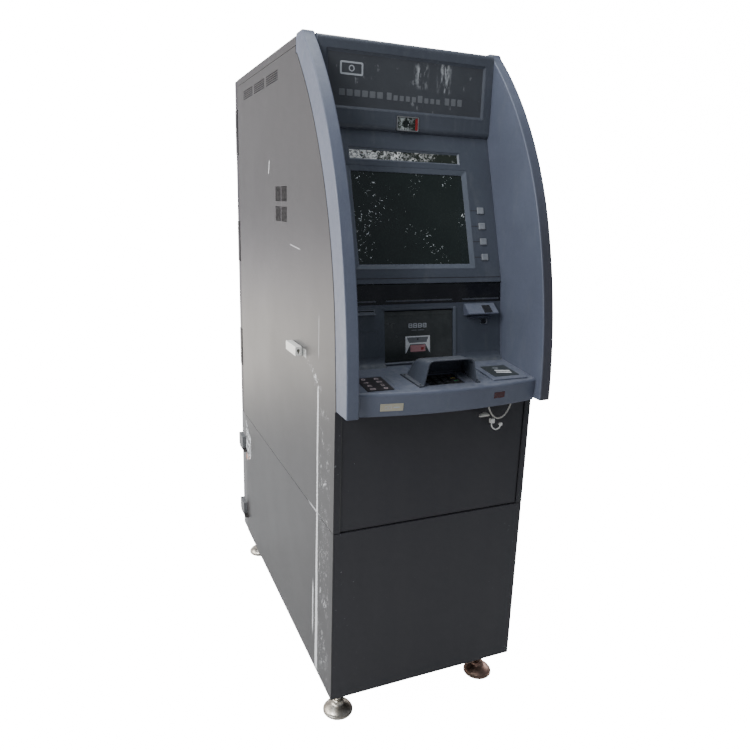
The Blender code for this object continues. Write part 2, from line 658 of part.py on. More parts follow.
def make_keypad():
    """Encrypting keypad under the shelf's well: a body with a tray, and its sixteen key caps on one mat."""
    low, high = -0.034, -SHELF_WALL - GAP
    body = block("keypad_body", (WELL[0] - 0.006, WELL[2] - 0.006, low), (WELL[1] + 0.006, WELL[3] + 0.006, high),
                 "bright_steel", SHELF_FRAME)
    tray = block("keypad_tray", (WELL[0] + 0.001, WELL[2] + 0.001, high - 0.0065),
                 (WELL[1] - 0.001, WELL[3] - 0.001, 0.01), None, SHELF_FRAME)
    cut(body, tray)
    mat_top = high - 0.0025
    mat = block("keypad_keys", (WELL[0] + 0.002, WELL[2] + 0.002, mat_top - 0.0020),
                (WELL[1] - 0.002, WELL[3] - 0.002, mat_top), "bright_steel", SHELF_FRAME,
                ((WELL[0] + WELL[1]) / 2, (WELL[2] + WELL[3]) / 2, mat_top))
    pitch_x, pitch_y = 0.0225, 0.0165
    bm = bmesh.new()
    for row in range(4):
        for column in range(4):
            x = (WELL[0] + WELL[1]) / 2 + (column - 1.5) * pitch_x
            y = (WELL[2] + WELL[3]) / 2 + (row - 1.5) * pitch_y
            add_prism(bm, rectangle(x - 0.009, x + 0.009, y - 0.006, y + 0.006), "Z", mat_top - 0.001,
                      mat_top + 0.003)
    join(mat, to_object("key_caps", bm, None, SHELF_FRAME))


def hood_ring(front, rear, front_half, rear_half, front_height, rear_height):
    return [(HOOD_CENTRE - front_half, front, front_height), (HOOD_CENTRE + front_half, front, front_height),
            (HOOD_CENTRE + rear_half, rear, rear_height), (HOOD_CENTRE - rear_half, rear, rear_height)]


def make_pin_hood():
    """Privacy hood over the keypad, open towards the customer, with a flange on the shelf."""
    lift = GAP
    bm = bmesh.new()
    add_loft(bm, [hood_ring(0.0165, 0.0960, 0.0705, 0.0780, lift, lift),
                  hood_ring(0.0185, 0.0925, 0.0665, 0.0735, 0.0360, 0.0270),
                  hood_ring(0.0210, 0.0830, 0.0540, 0.0590, 0.0595, 0.0450)])
    hood = to_object("pin_hood", bm, "fascia_plastic", SHELF_FRAME)
    flange = prism("hood_flange", [(HOOD_CENTRE - 0.0800, 0.0165), (HOOD_CENTRE + 0.0780, 0.0165),
                                   (HOOD_CENTRE + 0.0860, 0.1010), (HOOD_CENTRE - 0.0890, 0.1010)],
                   "Z", lift, 0.0035, None, SHELF_FRAME)
    bm = bmesh.new()
    wall = 0.003
    add_loft(bm, [hood_ring(-0.02, 0.0960 - wall, 0.0705 - wall, 0.0780 - wall, -0.01, -0.01),
                  hood_ring(-0.02, 0.0925 - wall, 0.0665 - wall, 0.0735 - wall, 0.0345, 0.0255),
                  hood_ring(-0.02, 0.0830 - wall, 0.0540 - wall, 0.0590 - wall, 0.0665 - wall, 0.0450 - wall)])
    cut(join(hood, flange), to_object("hood_hollow", bm, None, SHELF_FRAME))


def make_shelf_pads():
    """Pictogram pad on the left and contactless reader on the right of the keypad."""
    block("icon_pad", (-0.2030, 0.0180, GAP), (-0.1410, 0.0965, 0.0018), "module_plastic", SHELF_FRAME)
    reader = block("contactless_reader", (0.1320, 0.0330, GAP), (0.2080, 0.1080, 0.0045), "module_plastic",
                   SHELF_FRAME)
    rounded(reader, 0.0015, 1)


# ---------------------------------------------------------------- small outer pieces
def make_cable_box():
    """White cable box on the left side, open at its front end."""
    low = (-HALF - 0.0190, FRONT + 0.2517, 0.9222)
    high = (-HALF - GAP, FRONT + 0.3400, 0.9462)
    wall = 0.0025
    box = rounded(block("cable_box", low, high, "white_plastic"), 0.0015, 1)
    cut(box, block("cable_box_hollow", (low[0] + wall, low[1] - 0.01, low[2] + wall),
                   (high[0] - wall, low[1] + 0.035, high[2] - wall)))


def catmull_rom(points, samples):
    """Evenly parametrised smooth curve through hand-placed points."""
    ends = [2 * Vector(points[0]) - Vector(points[1])]
    ends += [Vector(p) for p in points]
    ends.append(2 * Vector(points[-1]) - Vector(points[-2]))
    smooth = []
    spans = len(points) - 1
    for i in range(samples + 1):
        place = i * spans / samples
        k = min(int(place), spans - 1)
        t = place - k
        a, b, c, d = ends[k:k + 4]
        smooth.append(0.5 * ((2 * b) + (c - a) * t + (2 * a - 5 * b + 4 * c - d) * t * t
                             + (3 * b - a - 3 * c + d) * t * t * t))
    return smooth


def cable(name, points, radius, samples, paint_name):
    curve = bpy.data.curves.new(name, "CURVE")
    curve.dimensions = "3D"
    curve.bevel_depth = radius
    curve.bevel_resolution = 2
    curve.use_fill_caps = True
    curve.resolution_u = 1
    places = catmull_rom(points, samples)
    spline = curve.splines.new("POLY")
    spline.points.add(len(places) - 1)
    for point, place in zip(spline.points, places):
        point.co = (*place, 1.0)
    curve.materials.append(paint(paint_name))
    obj = bpy.data.objects.new(name, curve)
    bpy.context.scene.collection.objects.link(obj)
    return obj


CABLE_LOOP_DEPTH = FRONT - 0.018
CABLE_LOOP_ROUTE = [(0.118, 0.8950), (0.119, 0.8800), (0.121, 0.8600), (0.125, 0.8400), (0.132, 0.8200),
                    (0.144, 0.8040), (0.159, 0.7980), (0.174, 0.8040), (0.186, 0.8200), (0.193, 0.8400),
                    (0.197, 0.8600), (0.199, 0.8800), (0.200, 0.8950)]


def make_cables():
    """Pale lead that loops out from under the shelf and back in."""
    route = [(x, CABLE_LOOP_DEPTH, z) for x, z in CABLE_LOOP_ROUTE]
    cable("cable_loop", route, 0.0021, 36, "pale_cable")


def make_feet():
    """Four levelling feet: a domed pad, a threaded stem and a lock nut under the cabinet."""
    for name, x, y in (("foot_front_left", FOOT_LEFT, FOOT_FRONT), ("foot_front_right", FOOT_RIGHT, FOOT_FRONT),
                       ("foot_rear_left", FOOT_LEFT, FOOT_REAR), ("foot_rear_right", FOOT_RIGHT, FOOT_REAR)):
        sides = 24
        bm = bmesh.new()
        profile = [(FOOT_RADIUS - 0.0020, 0.0), (FOOT_RADIUS, 0.0030), (FOOT_RADIUS, 0.0070),
                   (FOOT_RADIUS - 0.006, 0.0120), (0.0230, 0.0200), (0.0140, 0.0260), (0.0085, 0.0290),
                   (0.0085, 0.0610), (0.0150, 0.0610), (0.0150, 0.0740), (0.0085, 0.0740),
                   (0.0085, CABINET_BOTTOM - GAP)]
        add_loft(bm, [[(*p, z) for p in circle((0, 0), r, sides)] for r, z in profile])
        foot = to_object(name, bm, "bright_steel")
        foot.location = (x, y, 0)


# ---------------------------------------------------------------- rear door of the upper cabinet
def make_rear_door():
    low = (-HALF + 0.0005, REAR - REAR_DOOR_THICK, SEAM + JOINT_GAP)
    high = (HALF - 0.0005, REAR, LID_TOP - 0.001)
    door = block("rear_door", low, high, "charcoal_paint", UPRIGHT, REAR_DOOR_PIVOT)
    hollow = block("rear_door_hollow", (low[0] + SHEET, low[1] - 0.01, low[2] + SHEET),
                   (high[0] - SHEET, REAR - SHEET, high[2] - SHEET))
    notches = [((low[0] - 0.005, low[1] - 0.01, a), (low[0] + 0.0105, REAR - 0.0275, b)) for a, b in HINGE_HEIGHTS]
    cut(door, hollow, blocks("rear_door_notches", notches))
    return door


def make_door_latch(door):
    """Quarter-turn latch handle of the rear door: a hub with a grip pointing down."""
    hub = disc("door_latch", (LATCH_PIVOT.x, LATCH_PIVOT.z), 0.016, "Y", REAR + GAP, REAR + 0.010, "black_metal",
               20, UPRIGHT, LATCH_PIVOT)
    grip = block("latch_grip", (LATCH_PIVOT.x - 0.009, REAR + 0.006, LATCH_PIVOT.z - 0.105),
                 (LATCH_PIVOT.x + 0.009, REAR + 0.020, LATCH_PIVOT.z + 0.012))
    join(hub, grip)
    carry(hub, door)


# ---------------------------------------------------------------- safe
def make_base_frame():
    """Flat base frame under the safe, which the levelling feet are screwed into."""
    front, rear = FRONT + 0.0225, REAR - SAFE_DOOR_THICK - 0.002
    member = 0.070
    frame = block("base_frame", (-SAFE_HALF, front, CABINET_BOTTOM + 0.0005), (SAFE_HALF, rear, SAFE_BOTTOM - GAP),
                  "black_metal")
    cut(frame, block("base_frame_hole", (-SAFE_HALF + member, front + member, CABINET_BOTTOM - 0.01),
                     (SAFE_HALF - member, rear - member, SAFE_BOTTOM + 0.01)))


def make_safe_body():
    """Thick-walled safe, open at the rear inside a jamb that the bolts reach behind."""
    front, rear = FRONT + 0.0225, REAR - SAFE_DOOR_THICK - 0.002
    wall = SAFE_WALL
    safe = block("safe_body", (-SAFE_HALF, front, SAFE_BOTTOM), (SAFE_HALF, rear, SAFE_TOP), "safe_grey")
    cut(safe,
        block("safe_cavity", (-SAFE_HALF + wall, front + wall, SAFE_BOTTOM + wall),
              (SAFE_HALF - wall, rear - wall, SAFE_TOP - wall)),
        block("safe_mouth", (-0.215, rear - wall - 0.005, 0.125), (0.215, rear + 0.01, 0.520)))


def make_safe_door():
    """Slab door with a boltwork carrier inside and two hinge blocks on its left edge."""
    front = REAR - SAFE_DOOR_THICK
    half = HALF - 0.0005
    door = block("safe_door", (-half, front, CABINET_BOTTOM + 0.002), (half, REAR, SEAM - JOINT_GAP), "safe_grey",
                 UPRIGHT, SAFE_DOOR_PIVOT)
    carrier = block("bolt_carrier", (-0.190, front - 0.016, 0.150), (0.190, front + 0.010, 0.490))
    join(door, carrier)
    x, y = SAFE_DOOR_PIVOT.x, SAFE_DOOR_PIVOT.y
    for i, (low, high) in enumerate(SAFE_HINGE_BLOCKS):
        join(door, block(f"hinge_block_{i}", (x - 0.0062, front + 0.0015, low), (-half + 0.003, REAR + 0.001, high)))
        cut(door, disc(f"hinge_bore_{i}", (x, y), 0.0036, "Z", low - 0.01, high + 0.01, None, 16))
    return door


def make_safe_bolts(door):
    """Upright bolt bar with three round bolts, which slides sideways behind the jamb."""
    x, y, z = BOLT_ORIGIN
    bar = block("safe_bolts", (x - 0.010, y - 0.0095, z - 0.150), (x + 0.006, y + 0.0095, z + 0.150), "bright_steel",
                UPRIGHT, BOLT_ORIGIN)
    for i in (-1, 0, 1):
        join(bar, disc(f"bolt_{i + 1}", (y, z + i * 0.120), 0.0085, "X", x, x + 0.028, None, 16))
    carry(bar, door)


def make_safe_handle(door):
    """Three-spoke turning handle that throws the bolts."""
    x, y, z = HANDLE_PIVOT
    hub = disc("safe_handle", (x, z), 0.019, "Y", y + GAP, y + 0.030, "bright_steel", 20, UPRIGHT, HANDLE_PIVOT)
    for i in range(3):
        turn = math.radians(90 + 120 * i)
        reach = 0.062
        spoke = Matrix.Translation((x, y, z)) @ Matrix.Rotation(-turn, 4, "Y")
        bm = bmesh.new()
        add_prism(bm, circle((0.022, 0), 0.0065, 12), "X", 0.005, reach)
        join(hub, to_object(f"handle_spoke_{i}", bm, None, spoke))
    carry(hub, door)


def make_safe_dial(door):
    """Combination dial with a stepped knob."""
    x, y, z = DIAL_PIVOT
    dial = disc("safe_dial", (x, z), 0.036, "Y", y + GAP, y + 0.010, "black_metal", 32, UPRIGHT, DIAL_PIVOT)
    join(dial, disc("dial_knob", (x, z), 0.017, "Y", y + 0.005, y + 0.030, None, 20))
    carry(dial, door)


def make_cassettes():
    """Three note cassettes stacked in the safe, each with a grip hole in the face towards the door."""
    height, pitch = 0.1280, 0.1290
    front, rear = FRONT + 0.110, REAR - 0.135
    for i in range(3):
        low = SAFE_BOTTOM + SAFE_WALL + GAP + i * pitch
        case = block(f"note_cassette_{i + 1}", (-0.185, front, low), (0.185, rear, low + height), "module_plastic")
        cut(case, block(f"cassette_grip_{i + 1}", (-0.060, rear - 0.030, low + 0.050),
                        (0.060, rear + 0.01, low + 0.082)))


# ---------------------------------------------------------------- modules of the upper cabinet
def make_note_recycler():
    """Note handler that rests on the frame's lower bars, with a neck that reaches the cash pocket."""
    rear = REAR - 0.055
    recycler = block("note_recycler", (-0.180, FRONT + 0.300, SEAM + 0.0220),
                     (0.180, rear, 0.900), "module_plastic")
    neck = prism("recycler_neck", [(FRONT + 0.310, 0.780), (FRONT + 0.310, 0.960), (FRONT + 0.264, 0.960),
                                   (FRONT + 0.264, 0.850)], "X", -0.100, 0.100)
    join(recycler, neck)


def make_electronics():
    """Equipment tray with the computer and the power supply standing on it."""
    tray_top = 1.1500
    half = HALF - SIDE_FLANGE - 0.0225
    front, rear = FRONT + 0.3555, REAR - REAR_DOOR_THICK - 0.0265
    tray = block("equipment_tray", (-half, front, tray_top - 0.025), (half, rear, tray_top), "zinc_steel")
    cut(tray, block("equipment_tray_hollow", (-half + SHEET, front + SHEET, tray_top - 0.035),
                    (half - SHEET, rear - SHEET, tray_top - SHEET)))
    computer = block("computer", (-0.200, 0.020, tray_top + GAP), (-0.020, 0.400, tray_top + 0.330), "zinc_steel")
    cut(computer, block("computer_port_recess", (-0.190, 0.392, tray_top + 0.030), (-0.110, 0.410, tray_top + 0.300)))
    supply = block("power_supply", (0.030, 0.140, tray_top + GAP), (0.190, 0.400, tray_top + 0.150), "black_metal")
    cut(supply, block("power_inlet", (0.135, 0.392, tray_top + 0.060), (0.163, 0.410, tray_top + 0.085)))


def clear_scene():
    for obj in list(bpy.data.objects):
        bpy.data.objects.remove(obj, do_unlink=True)


def build():
    clear_scene()
    make_side_panels()
    make_top_cover()
    make_upper_front_panel()
    make_lower_front_panel()
    make_safe_claddings()
    make_upper_frame()
    wing("left_wing", -1)
    wing("right_wing", 1)
    make_header()
    make_camera()
    make_monitor_group()
    make_function_keys()
    make_status_band()
    make_lower_panel()
    make_receipt_printer()
    make_cash_cover()
    make_cash_pocket()
    make_card_reader()
    make_shelf()
    make_keypad()
    make_pin_hood()
    make_shelf_pads()
    make_cable_box()
    make_cables()
    make_feet()
    make_door_latch(make_rear_door())
    make_base_frame()
    make_safe_body()
    door = make_safe_door()
    make_safe_bolts(door)
    make_safe_handle(door)
    make_safe_dial(door)
    make_cassettes()
    make_note_recycler()
    make_electronics()


build()
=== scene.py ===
"""Looks of the cash machine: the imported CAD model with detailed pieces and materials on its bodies.

Metres, +Z up, customer side towards -Y, in the frame of the CAD model.
"""
import json
import math
import random

import bmesh
import bpy
from mathutils import Matrix, Vector

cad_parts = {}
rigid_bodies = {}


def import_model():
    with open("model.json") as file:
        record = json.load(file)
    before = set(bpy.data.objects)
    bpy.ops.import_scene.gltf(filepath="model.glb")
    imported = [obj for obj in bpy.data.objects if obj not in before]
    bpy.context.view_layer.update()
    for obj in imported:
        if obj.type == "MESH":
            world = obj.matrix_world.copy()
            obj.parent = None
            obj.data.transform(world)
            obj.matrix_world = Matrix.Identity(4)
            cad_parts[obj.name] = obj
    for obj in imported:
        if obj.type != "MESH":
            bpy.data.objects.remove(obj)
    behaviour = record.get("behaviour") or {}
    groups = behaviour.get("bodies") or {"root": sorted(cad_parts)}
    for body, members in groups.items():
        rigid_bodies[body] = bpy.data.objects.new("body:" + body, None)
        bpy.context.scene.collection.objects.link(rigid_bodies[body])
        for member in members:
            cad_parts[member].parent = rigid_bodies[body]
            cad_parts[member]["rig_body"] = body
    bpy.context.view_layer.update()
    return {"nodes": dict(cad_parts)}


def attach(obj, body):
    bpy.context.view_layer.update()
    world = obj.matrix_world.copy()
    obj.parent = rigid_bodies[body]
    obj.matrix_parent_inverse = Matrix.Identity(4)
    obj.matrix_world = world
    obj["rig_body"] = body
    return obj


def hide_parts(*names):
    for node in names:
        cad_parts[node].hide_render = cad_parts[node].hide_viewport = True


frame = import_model()
NODES = frame["nodes"]

# ---------------- sizes shared with the CAD model
F = -0.4915                       # front plane of the cabinet
R = F + 1.025                     # rear plane
HALF = 0.265                      # half the width
INNER = 0.235                     # half the width between the wings
ZS = 0.546                        # seam between the safe and the upper cabinet
WING_BOTTOM, WING_TOP = 0.8507, 1.683
WING_BACK = F + 0.31
SCREEN_TILT, LOWER_TILT, SHELF_TILT = math.radians(18.05), math.radians(7.2), math.radians(6.15)
MON = Matrix.Translation((0, F + 0.13, 1.1168)) @ Matrix.Rotation(-SCREEN_TILT, 4, "X")
LOW = Matrix.Translation((0, F + 0.1097, 0.9196)) @ Matrix.Rotation(-LOWER_TILT, 4, "X")
SHF = Matrix.Translation((0, F - 0.06, 0.9013)) @ Matrix.Rotation(SHELF_TILT, 4, "X")
FLAT = Matrix.Identity(4)
SIDES = ((-1, "left"), (1, "right"))
SCREEN_X, SCREEN_W, SCREEN_H, SCREEN_FOOT = -0.003, 0.3048, 0.2286, 0.0483


# ---------------- camera
def make_camera():
    yaw, pitch, roll = 0.40727, -0.25429, 0.03079
    forward = Vector((math.sin(yaw) * math.cos(pitch), math.cos(yaw) * math.cos(pitch), math.sin(pitch)))
    right = Vector((math.cos(yaw), -math.sin(yaw), 0))
    up = right.cross(forward)
    turned_right = right * math.cos(roll) + up * math.sin(roll)
    turned_up = up * math.cos(roll) - right * math.sin(roll)
    data = bpy.data.cameras.new("camera_main")
    data.sensor_width = 36.0
    data.lens = 31.632
    data.clip_start, data.clip_end = 0.05, 60.0
    cam = bpy.data.objects.new("camera_main", data)
    bpy.context.scene.collection.objects.link(cam)
    turn = Matrix((turned_right, turned_up, -forward)).transposed().to_4x4()
    cam.matrix_world = Matrix.Translation((-0.7417, F - 1.3249, 1.303)) @ turn
    bpy.context.scene.camera = cam


make_camera()


# ---------------- node graphs
class Graph:
    """Short names for building one material's nodes."""

    def __init__(self, name):
        self.material = bpy.data.materials.new(name)
        self.material.use_nodes = True
        self.tree = self.material.node_tree
        self.shader = self.tree.nodes["Principled BSDF"]
        self.place = self.node("TexCoord").outputs["Object"]

    def link(self, value, socket):
        if isinstance(value, bpy.types.NodeSocket):
            self.tree.links.new(value, socket)
        else:
            socket.default_value = value

    def node(self, kind, inputs=(), **settings):
        """A new node with these settings, and these inputs linked or set."""
        node = self.tree.nodes.new("ShaderNode" + kind)
        for key, value in settings.items():
            setattr(node, key, value)
        for socket, value in dict(inputs).items():
            self.link(value, node.inputs[socket])
        return node

    def set(self, name, value):
        self.link(value, self.shader.inputs[name])

    def stretched(self, *scale):
        return self.node("Mapping", {"Scale": scale, "Vector": self.place}).outputs["Vector"]

    def noise(self, scale, detail=3, rough=0.55, vector=None, distortion=0):
        return self.node("TexNoise", {"Scale": scale, "Detail": detail, "Roughness": rough,
                                      "Distortion": distortion,
                                      "Vector": vector or self.place}).outputs["Fac"]

    def cells(self, scale):
        return self.node("TexVoronoi", {"Scale": scale, "Vector": self.place}).outputs["Distance"]

    def math(self, operation, a, b=0.0, clamp=False):
        return self.node("Math", {0: a, 1: b}, operation=operation, use_clamp=clamp).outputs[0]

    def times(self, value, *others):
        for other in others:
            value = self.math("MULTIPLY", value, other)
        return value

    def most(self, value, *others):
        for other in others:
            value = self.math("MAXIMUM", value, other)
        return value

    def away(self, value, target):
        return self.math("ABSOLUTE", self.math("SUBTRACT", value, target))

    def fit(self, value, low, high, to_low=0, to_high=1, smooth=False):
        return self.node("MapRange", dict(enumerate((value, low, high, to_low, to_high))),
                         interpolation_type="SMOOTHSTEP" if smooth else "LINEAR").outputs[0]

    def spots(self, scale, detail, rough, low, high, to_low=0, to_high=1, vector=None, distortion=0):
        """Noise with the stretch from low to high drawn out over the given range."""
        return self.fit(self.noise(scale, detail, rough, vector, distortion), low, high, to_low, to_high)

    def mix(self, factor, a, b):
        a, b = ((*value, 1.0) if isinstance(value, tuple) else value for value in (a, b))
        return self.node("Mix", {0: factor, 6: a, 7: b}, data_type="RGBA").outputs[2]

    def axis(self, which, vector=None):
        return self.node("SeparateXYZ", {0: vector or self.place}).outputs["XYZ".index(which)]

    def normal_axis(self, which):
        return self.axis(which, self.node("NewGeometry").outputs["Normal"])

    def inside(self, value, low, high, soft):
        """1 where value is between low and high, with soft ends."""
        rise = self.fit(value, low - soft, low + soft, 0, 1, True)
        return self.times(rise, self.fit(value, high - soft, high + soft, 1, 0, True))

    def bump(self, height, strength, distance, normal=None):
        inputs = {"Strength": strength, "Distance": distance, "Height": height}
        if normal:
            inputs["Normal"] = normal
        return self.node("Bump", inputs).outputs["Normal"]

    def done(self, colour, rough, normal):
        for name, value in (("Base Color", colour), ("Roughness", rough), ("Normal", normal)):
            self.set(name, value)
        return self.material


def shade(colour, amount):
    return tuple(c * amount for c in colour)


def plastic(name, colour, rough=0.45, grain=2200, dirt=0.18, dust=0.25, right_edge_shade=False):
    """Fine-textured moulded plastic with faint blotches, and dust where it faces up. When asked, it also
    paints shade: a dark warm tint on faces turned to the front, right of x 0.236 and below z 1.56.
    """
    g = Graph(name)
    base = g.mix(g.spots(7, 4, 0.6, 0.3, 0.7), shade(colour, 1 - dirt), shade(colour, 1 + dirt * 0.6))
    base = g.mix(g.times(g.spots(380, 2, 0.5, 0.42, 0.62), 0.12), base, shade(colour, 1.5))
    smear = g.spots(24, 5, 0.7, 0.52, 0.78, vector=g.stretched(1, 1, 0.25))
    base = g.mix(g.times(smear, dirt), base, (0.34, 0.34, 0.33))
    lying = g.times(g.fit(g.normal_axis("Z"), 0.55, 1), g.spots(60, 5, 0.75, 0.35, 0.75), dust)
    base = g.mix(lying, base, (0.42, 0.42, 0.41))
    if right_edge_shade:
        # painted shade: darkens the front-facing faces at the right wing's outer edge, fully below z 1.2
        # and gone above z 1.56
        ahead = g.fit(g.normal_axis("Y"), -0.7, -0.3, 0.62, 0)
        low = g.times(g.fit(g.axis("Z"), 1.2, 1.56, 1, 0), g.fit(g.axis("X"), 0.2358, 0.24))
        base = g.mix(g.times(ahead, low), base, (0.03, 0.022, 0.02))
    fine = g.bump(g.noise(grain, 2, 0.6), 0.5, 0.00006)
    return g.done(base, g.spots(45, 4, 0.6, 0.3, 0.7, rough - 0.06, rough + 0.09),
                  g.bump(g.noise(3, 2, 0.5), 0.1, 0.002, fine))


def paint_graph(name, colour, rough=0.42, specular=0.5, grime=0.3):
    """Powder-coated steel with faint orange peel, streaks and dust: its graph, colour and roughness."""
    g = Graph(name)
    base = g.mix(g.spots(1.3, 2, 0.5, 0.3, 0.7), shade(colour, 0.94), shade(colour, 1.06))
    base = g.mix(g.spots(900, 2, 0.6, 0.35, 0.65), shade(colour, 0.85), base)
    streak = g.spots(12, 3, 0.5, 0.5, 0.9, vector=g.stretched(1, 1, 0.1))
    base = g.mix(g.times(streak, grime * 0.12), base, (0.2, 0.19, 0.18))
    speck = g.times(g.fit(g.cells(240), 0, 0.16, 1, 0), g.spots(18, 3, 0.6, 0.6, 0.72), grime)
    base = g.mix(speck, base, (0.45, 0.44, 0.42))
    g.set("Specular IOR Level", specular)
    peel = g.bump(g.noise(900, 2, 0.5), 0.35, 0.00006)
    g.set("Normal", g.bump(g.noise(2.5, 1, 0.4), 0.05, 0.004, peel))
    return g, base, g.spots(5, 3, 0.5, 0.3, 0.72, rough - 0.02, rough + 0.03)


def paint(name, colour, **more):
    g, base, rough = paint_graph(name, colour, **more)
    g.set("Base Color", base)
    g.set("Roughness", rough)
    return g.material


CHARCOAL = (0.026, 0.0255, 0.03)
FASCIA = (0.105, 0.119, 0.16)


def side_paint(name, colour):
    """Cabinet paint of the left side, with the streak, scratches and scuffs of long use."""
    g, base, rough = paint_graph(name, colour, rough=0.33, specular=0.8)
    y, z = g.axis("Y"), g.axis("Z")

    def stroke(away, narrow, wide, along, low, high, blur, strength=1):
        return g.times(g.fit(away, narrow, wide, strength, 0), g.inside(along, low, high, blur))

    shaken = g.math("ADD", y, g.spots(9, 2, 0.5, 0, 1, -0.004, 0.004))
    ragged = g.spots(240, 4, 0.7, 0.3, 0.7, -0.002, 0.002)
    line_away, twin_away = (g.math("ADD", g.away(shaken, F + at), ragged) for at in (0.1225, 0.152))
    broad = g.fit(z, 0.08, 0.62, 0.01, 0.0046)
    line = stroke(line_away, broad, g.math("ADD", broad, 0.0012), z, 0.09, 0.87, 0.01)
    line = g.times(line, g.spots(70, 5, 0.8, 0.3, 0.42, 0.55, 1, g.stretched(1, 1, 0.3)))
    twin = stroke(twin_away, 0.003, 0.0045, z, 0.19, 0.33, 0.02)
    falling = g.fit(z, 0.885, 0.925, F + 0.12, F + 0.215)
    drops = stroke(g.away(y, falling), 0.01, 0.03, z, 0.868, 0.935, 0.006)
    drops = g.times(drops, g.spots(85, 4, 0.7, 0.53, 0.6))
    upper = stroke(g.away(y, F + 0.119), 0.0007, 0.0022, z, 0.95, 1.045, 0.012, 0.6)
    scratch = g.spots(95, 5, 0.8, 0.583, 0.594, 0, 1, g.stretched(1, 1, 0.45), 1.5)
    scuff = g.times(scratch, g.spots(13, 3, 0.6, 0.47, 0.52), g.inside(y, F + 0.03, F + 0.104, 0.012),
                    g.inside(z, 0.11, 0.83, 0.04), g.fit(z, 0.25, 0.8, 1, 0.7))
    seam = stroke(g.away(z, ZS + 0.001), 0.0012, 0.0034, y, F + 0.11, F + 0.185, 0.02)
    slant = g.fit(y, F + 0.266, F + 0.372, 1.1874, 1.1948)
    nick = stroke(g.away(z, slant), 0.0006, 0.002, y, F + 0.275, F + 0.36, 0.012, 0.7)
    steep = g.fit(z, 1.3731, 1.4137, F + 0.5827, F + 0.5718)
    gash = stroke(g.away(y, steep), 0.0022, 0.0042, z, 1.376, 1.411, 0.003)
    outer = g.fit(g.axis("X"), -HALF - 0.0005, -HALF + 0.0008, 1, 0)
    marks = g.times(g.most(line, twin, drops, upper, scuff, seam, nick, gash), outer)
    g.set("Base Color", g.mix(marks, base, (0.97, 0.98, 1.0)))
    g.set("Roughness", g.math("ADD", rough, g.times(marks, 0.25), True))
    return g.material


def front_paint(name, colour):
    """Front panel paint with a few white nicks, most of them towards the edges."""
    g, base, rough = paint_graph(name, colour, rough=0.4)
    edge = g.fit(g.math("ABSOLUTE", g.axis("X")), 0.15, 0.262, 0, 0.055)
    nick = g.fit(g.math("ADD", g.noise(170, 4, 0.75, g.stretched(1, 1, 0.6)), edge), 0.735, 0.765)
    g.set("Base Color", g.mix(g.times(nick, 0.8), base, (0.55, 0.56, 0.58)))
    g.set("Roughness", rough)
    return g.material


def steel(name, colour, rough=0.28, brushed=(1, 1, 40), stain=0.35):
    """Bare metal with brushed lines and stains."""
    g = Graph(name)
    dark = g.spots(38, 5, 0.7, 0.42, 0.7)
    g.set("Metallic", 1.0)
    lines = g.noise(160, 3, 0.6, g.stretched(*brushed))
    dull = g.math("ADD", g.fit(lines, 0.3, 0.7, rough - 0.07, rough + 0.1), g.times(dark, 0.25), True)
    return g.done(g.mix(g.times(dark, stain), colour, (0.16, 0.13, 0.1)), dull, g.bump(lines, 0.15, 0.0001))


def gloss(name, colour, rough=0.08, dust=0.1):
    """Polished black or tinted surface with fingerprints and settled dust."""
    g = Graph(name)
    specks = g.times(g.fit(g.cells(420), 0, 0.14, 1, 0), g.spots(30, 2, 0.5, 0.5, 0.7), dust)
    film = g.math("ADD", g.times(g.spots(11, 5, 0.65, 0.45, 0.8), dust * 0.4), specks, True)
    dull = g.spots(22, 4, 0.6, 0.35, 0.75, rough, rough + 0.14)
    return g.done(g.mix(film, colour, (0.4, 0.41, 0.4)), dull, g.bump(g.noise(4, 1, 0.4), 0.04, 0.002))


def print_ink(name, colour, rough=0.5, worn=0.25):
    """Printed or moulded mark with a little wear."""
    g = Graph(name)
    gone = g.times(g.spots(300, 4, 0.7, 0.52, 0.72), worn)
    dull = g.spots(90, 3, 0.6, 0.3, 0.7, rough - 0.08, rough + 0.1)
    return g.done(g.mix(gone, colour, shade(colour, 0.45)), dull, g.bump(g.noise(1500, 2, 0.5), 0.2,
                                                                         0.00004))


def sticker_paper(name, colour):
    """What is left of a label: pale paper with bare patches and a little orange."""
    g = Graph(name)
    base = g.mix(g.spots(75, 5, 0.8, 0.46, 0.52), colour, (0.115, 0.115, 0.118))
    orange = g.times(g.fit(g.axis("Z"), 0.385, 0.405, 1, 0), g.spots(60, 2, 0.5, 0.45, 0.55))
    return g.done(g.mix(orange, base, (0.75, 0.28, 0.14)), 0.6, g.bump(g.noise(200, 3, 0.6), 0.3, 0.0002))


def sign_sheet(name, colour):
    """Smooth sign sheet with runs and scratches of white in its right half."""
    g = Graph(name)
    base = g.mix(g.spots(9, 4, 0.6, 0.3, 0.7), shade(colour, 0.88), shade(colour, 1.15))
    x, z = g.axis("X"), g.axis("Z")
    left = g.times(g.inside(x, 0.02, 0.048, 0.01), g.inside(z, 1.583, 1.634, 0.008))
    right = g.times(g.inside(x, 0.083, 0.112, 0.01), g.inside(z, 1.575, 1.64, 0.006))
    some = g.times(g.spots(40, 3, 0.6, 0.6, 0.68), 0.5)
    drips = g.times(g.spots(110, 5, 0.75, 0.5, 0.6, vector=g.stretched(1, 1, 0.22)),
                    g.most(left, right, some))
    fine = g.times(g.fit(g.cells(90), 0, 0.06, 1, 0), g.spots(12, 2, 0.5, 0.5, 0.6), 0.5)
    marks = g.times(g.most(drips, fine), 0.75)
    return g.done(g.mix(marks, base, (0.62, 0.64, 0.65)), g.spots(30, 4, 0.6, 0.3, 0.7, 0.34, 0.46),
                  g.bump(g.noise(900, 2, 0.5), 0.15, 0.00004))


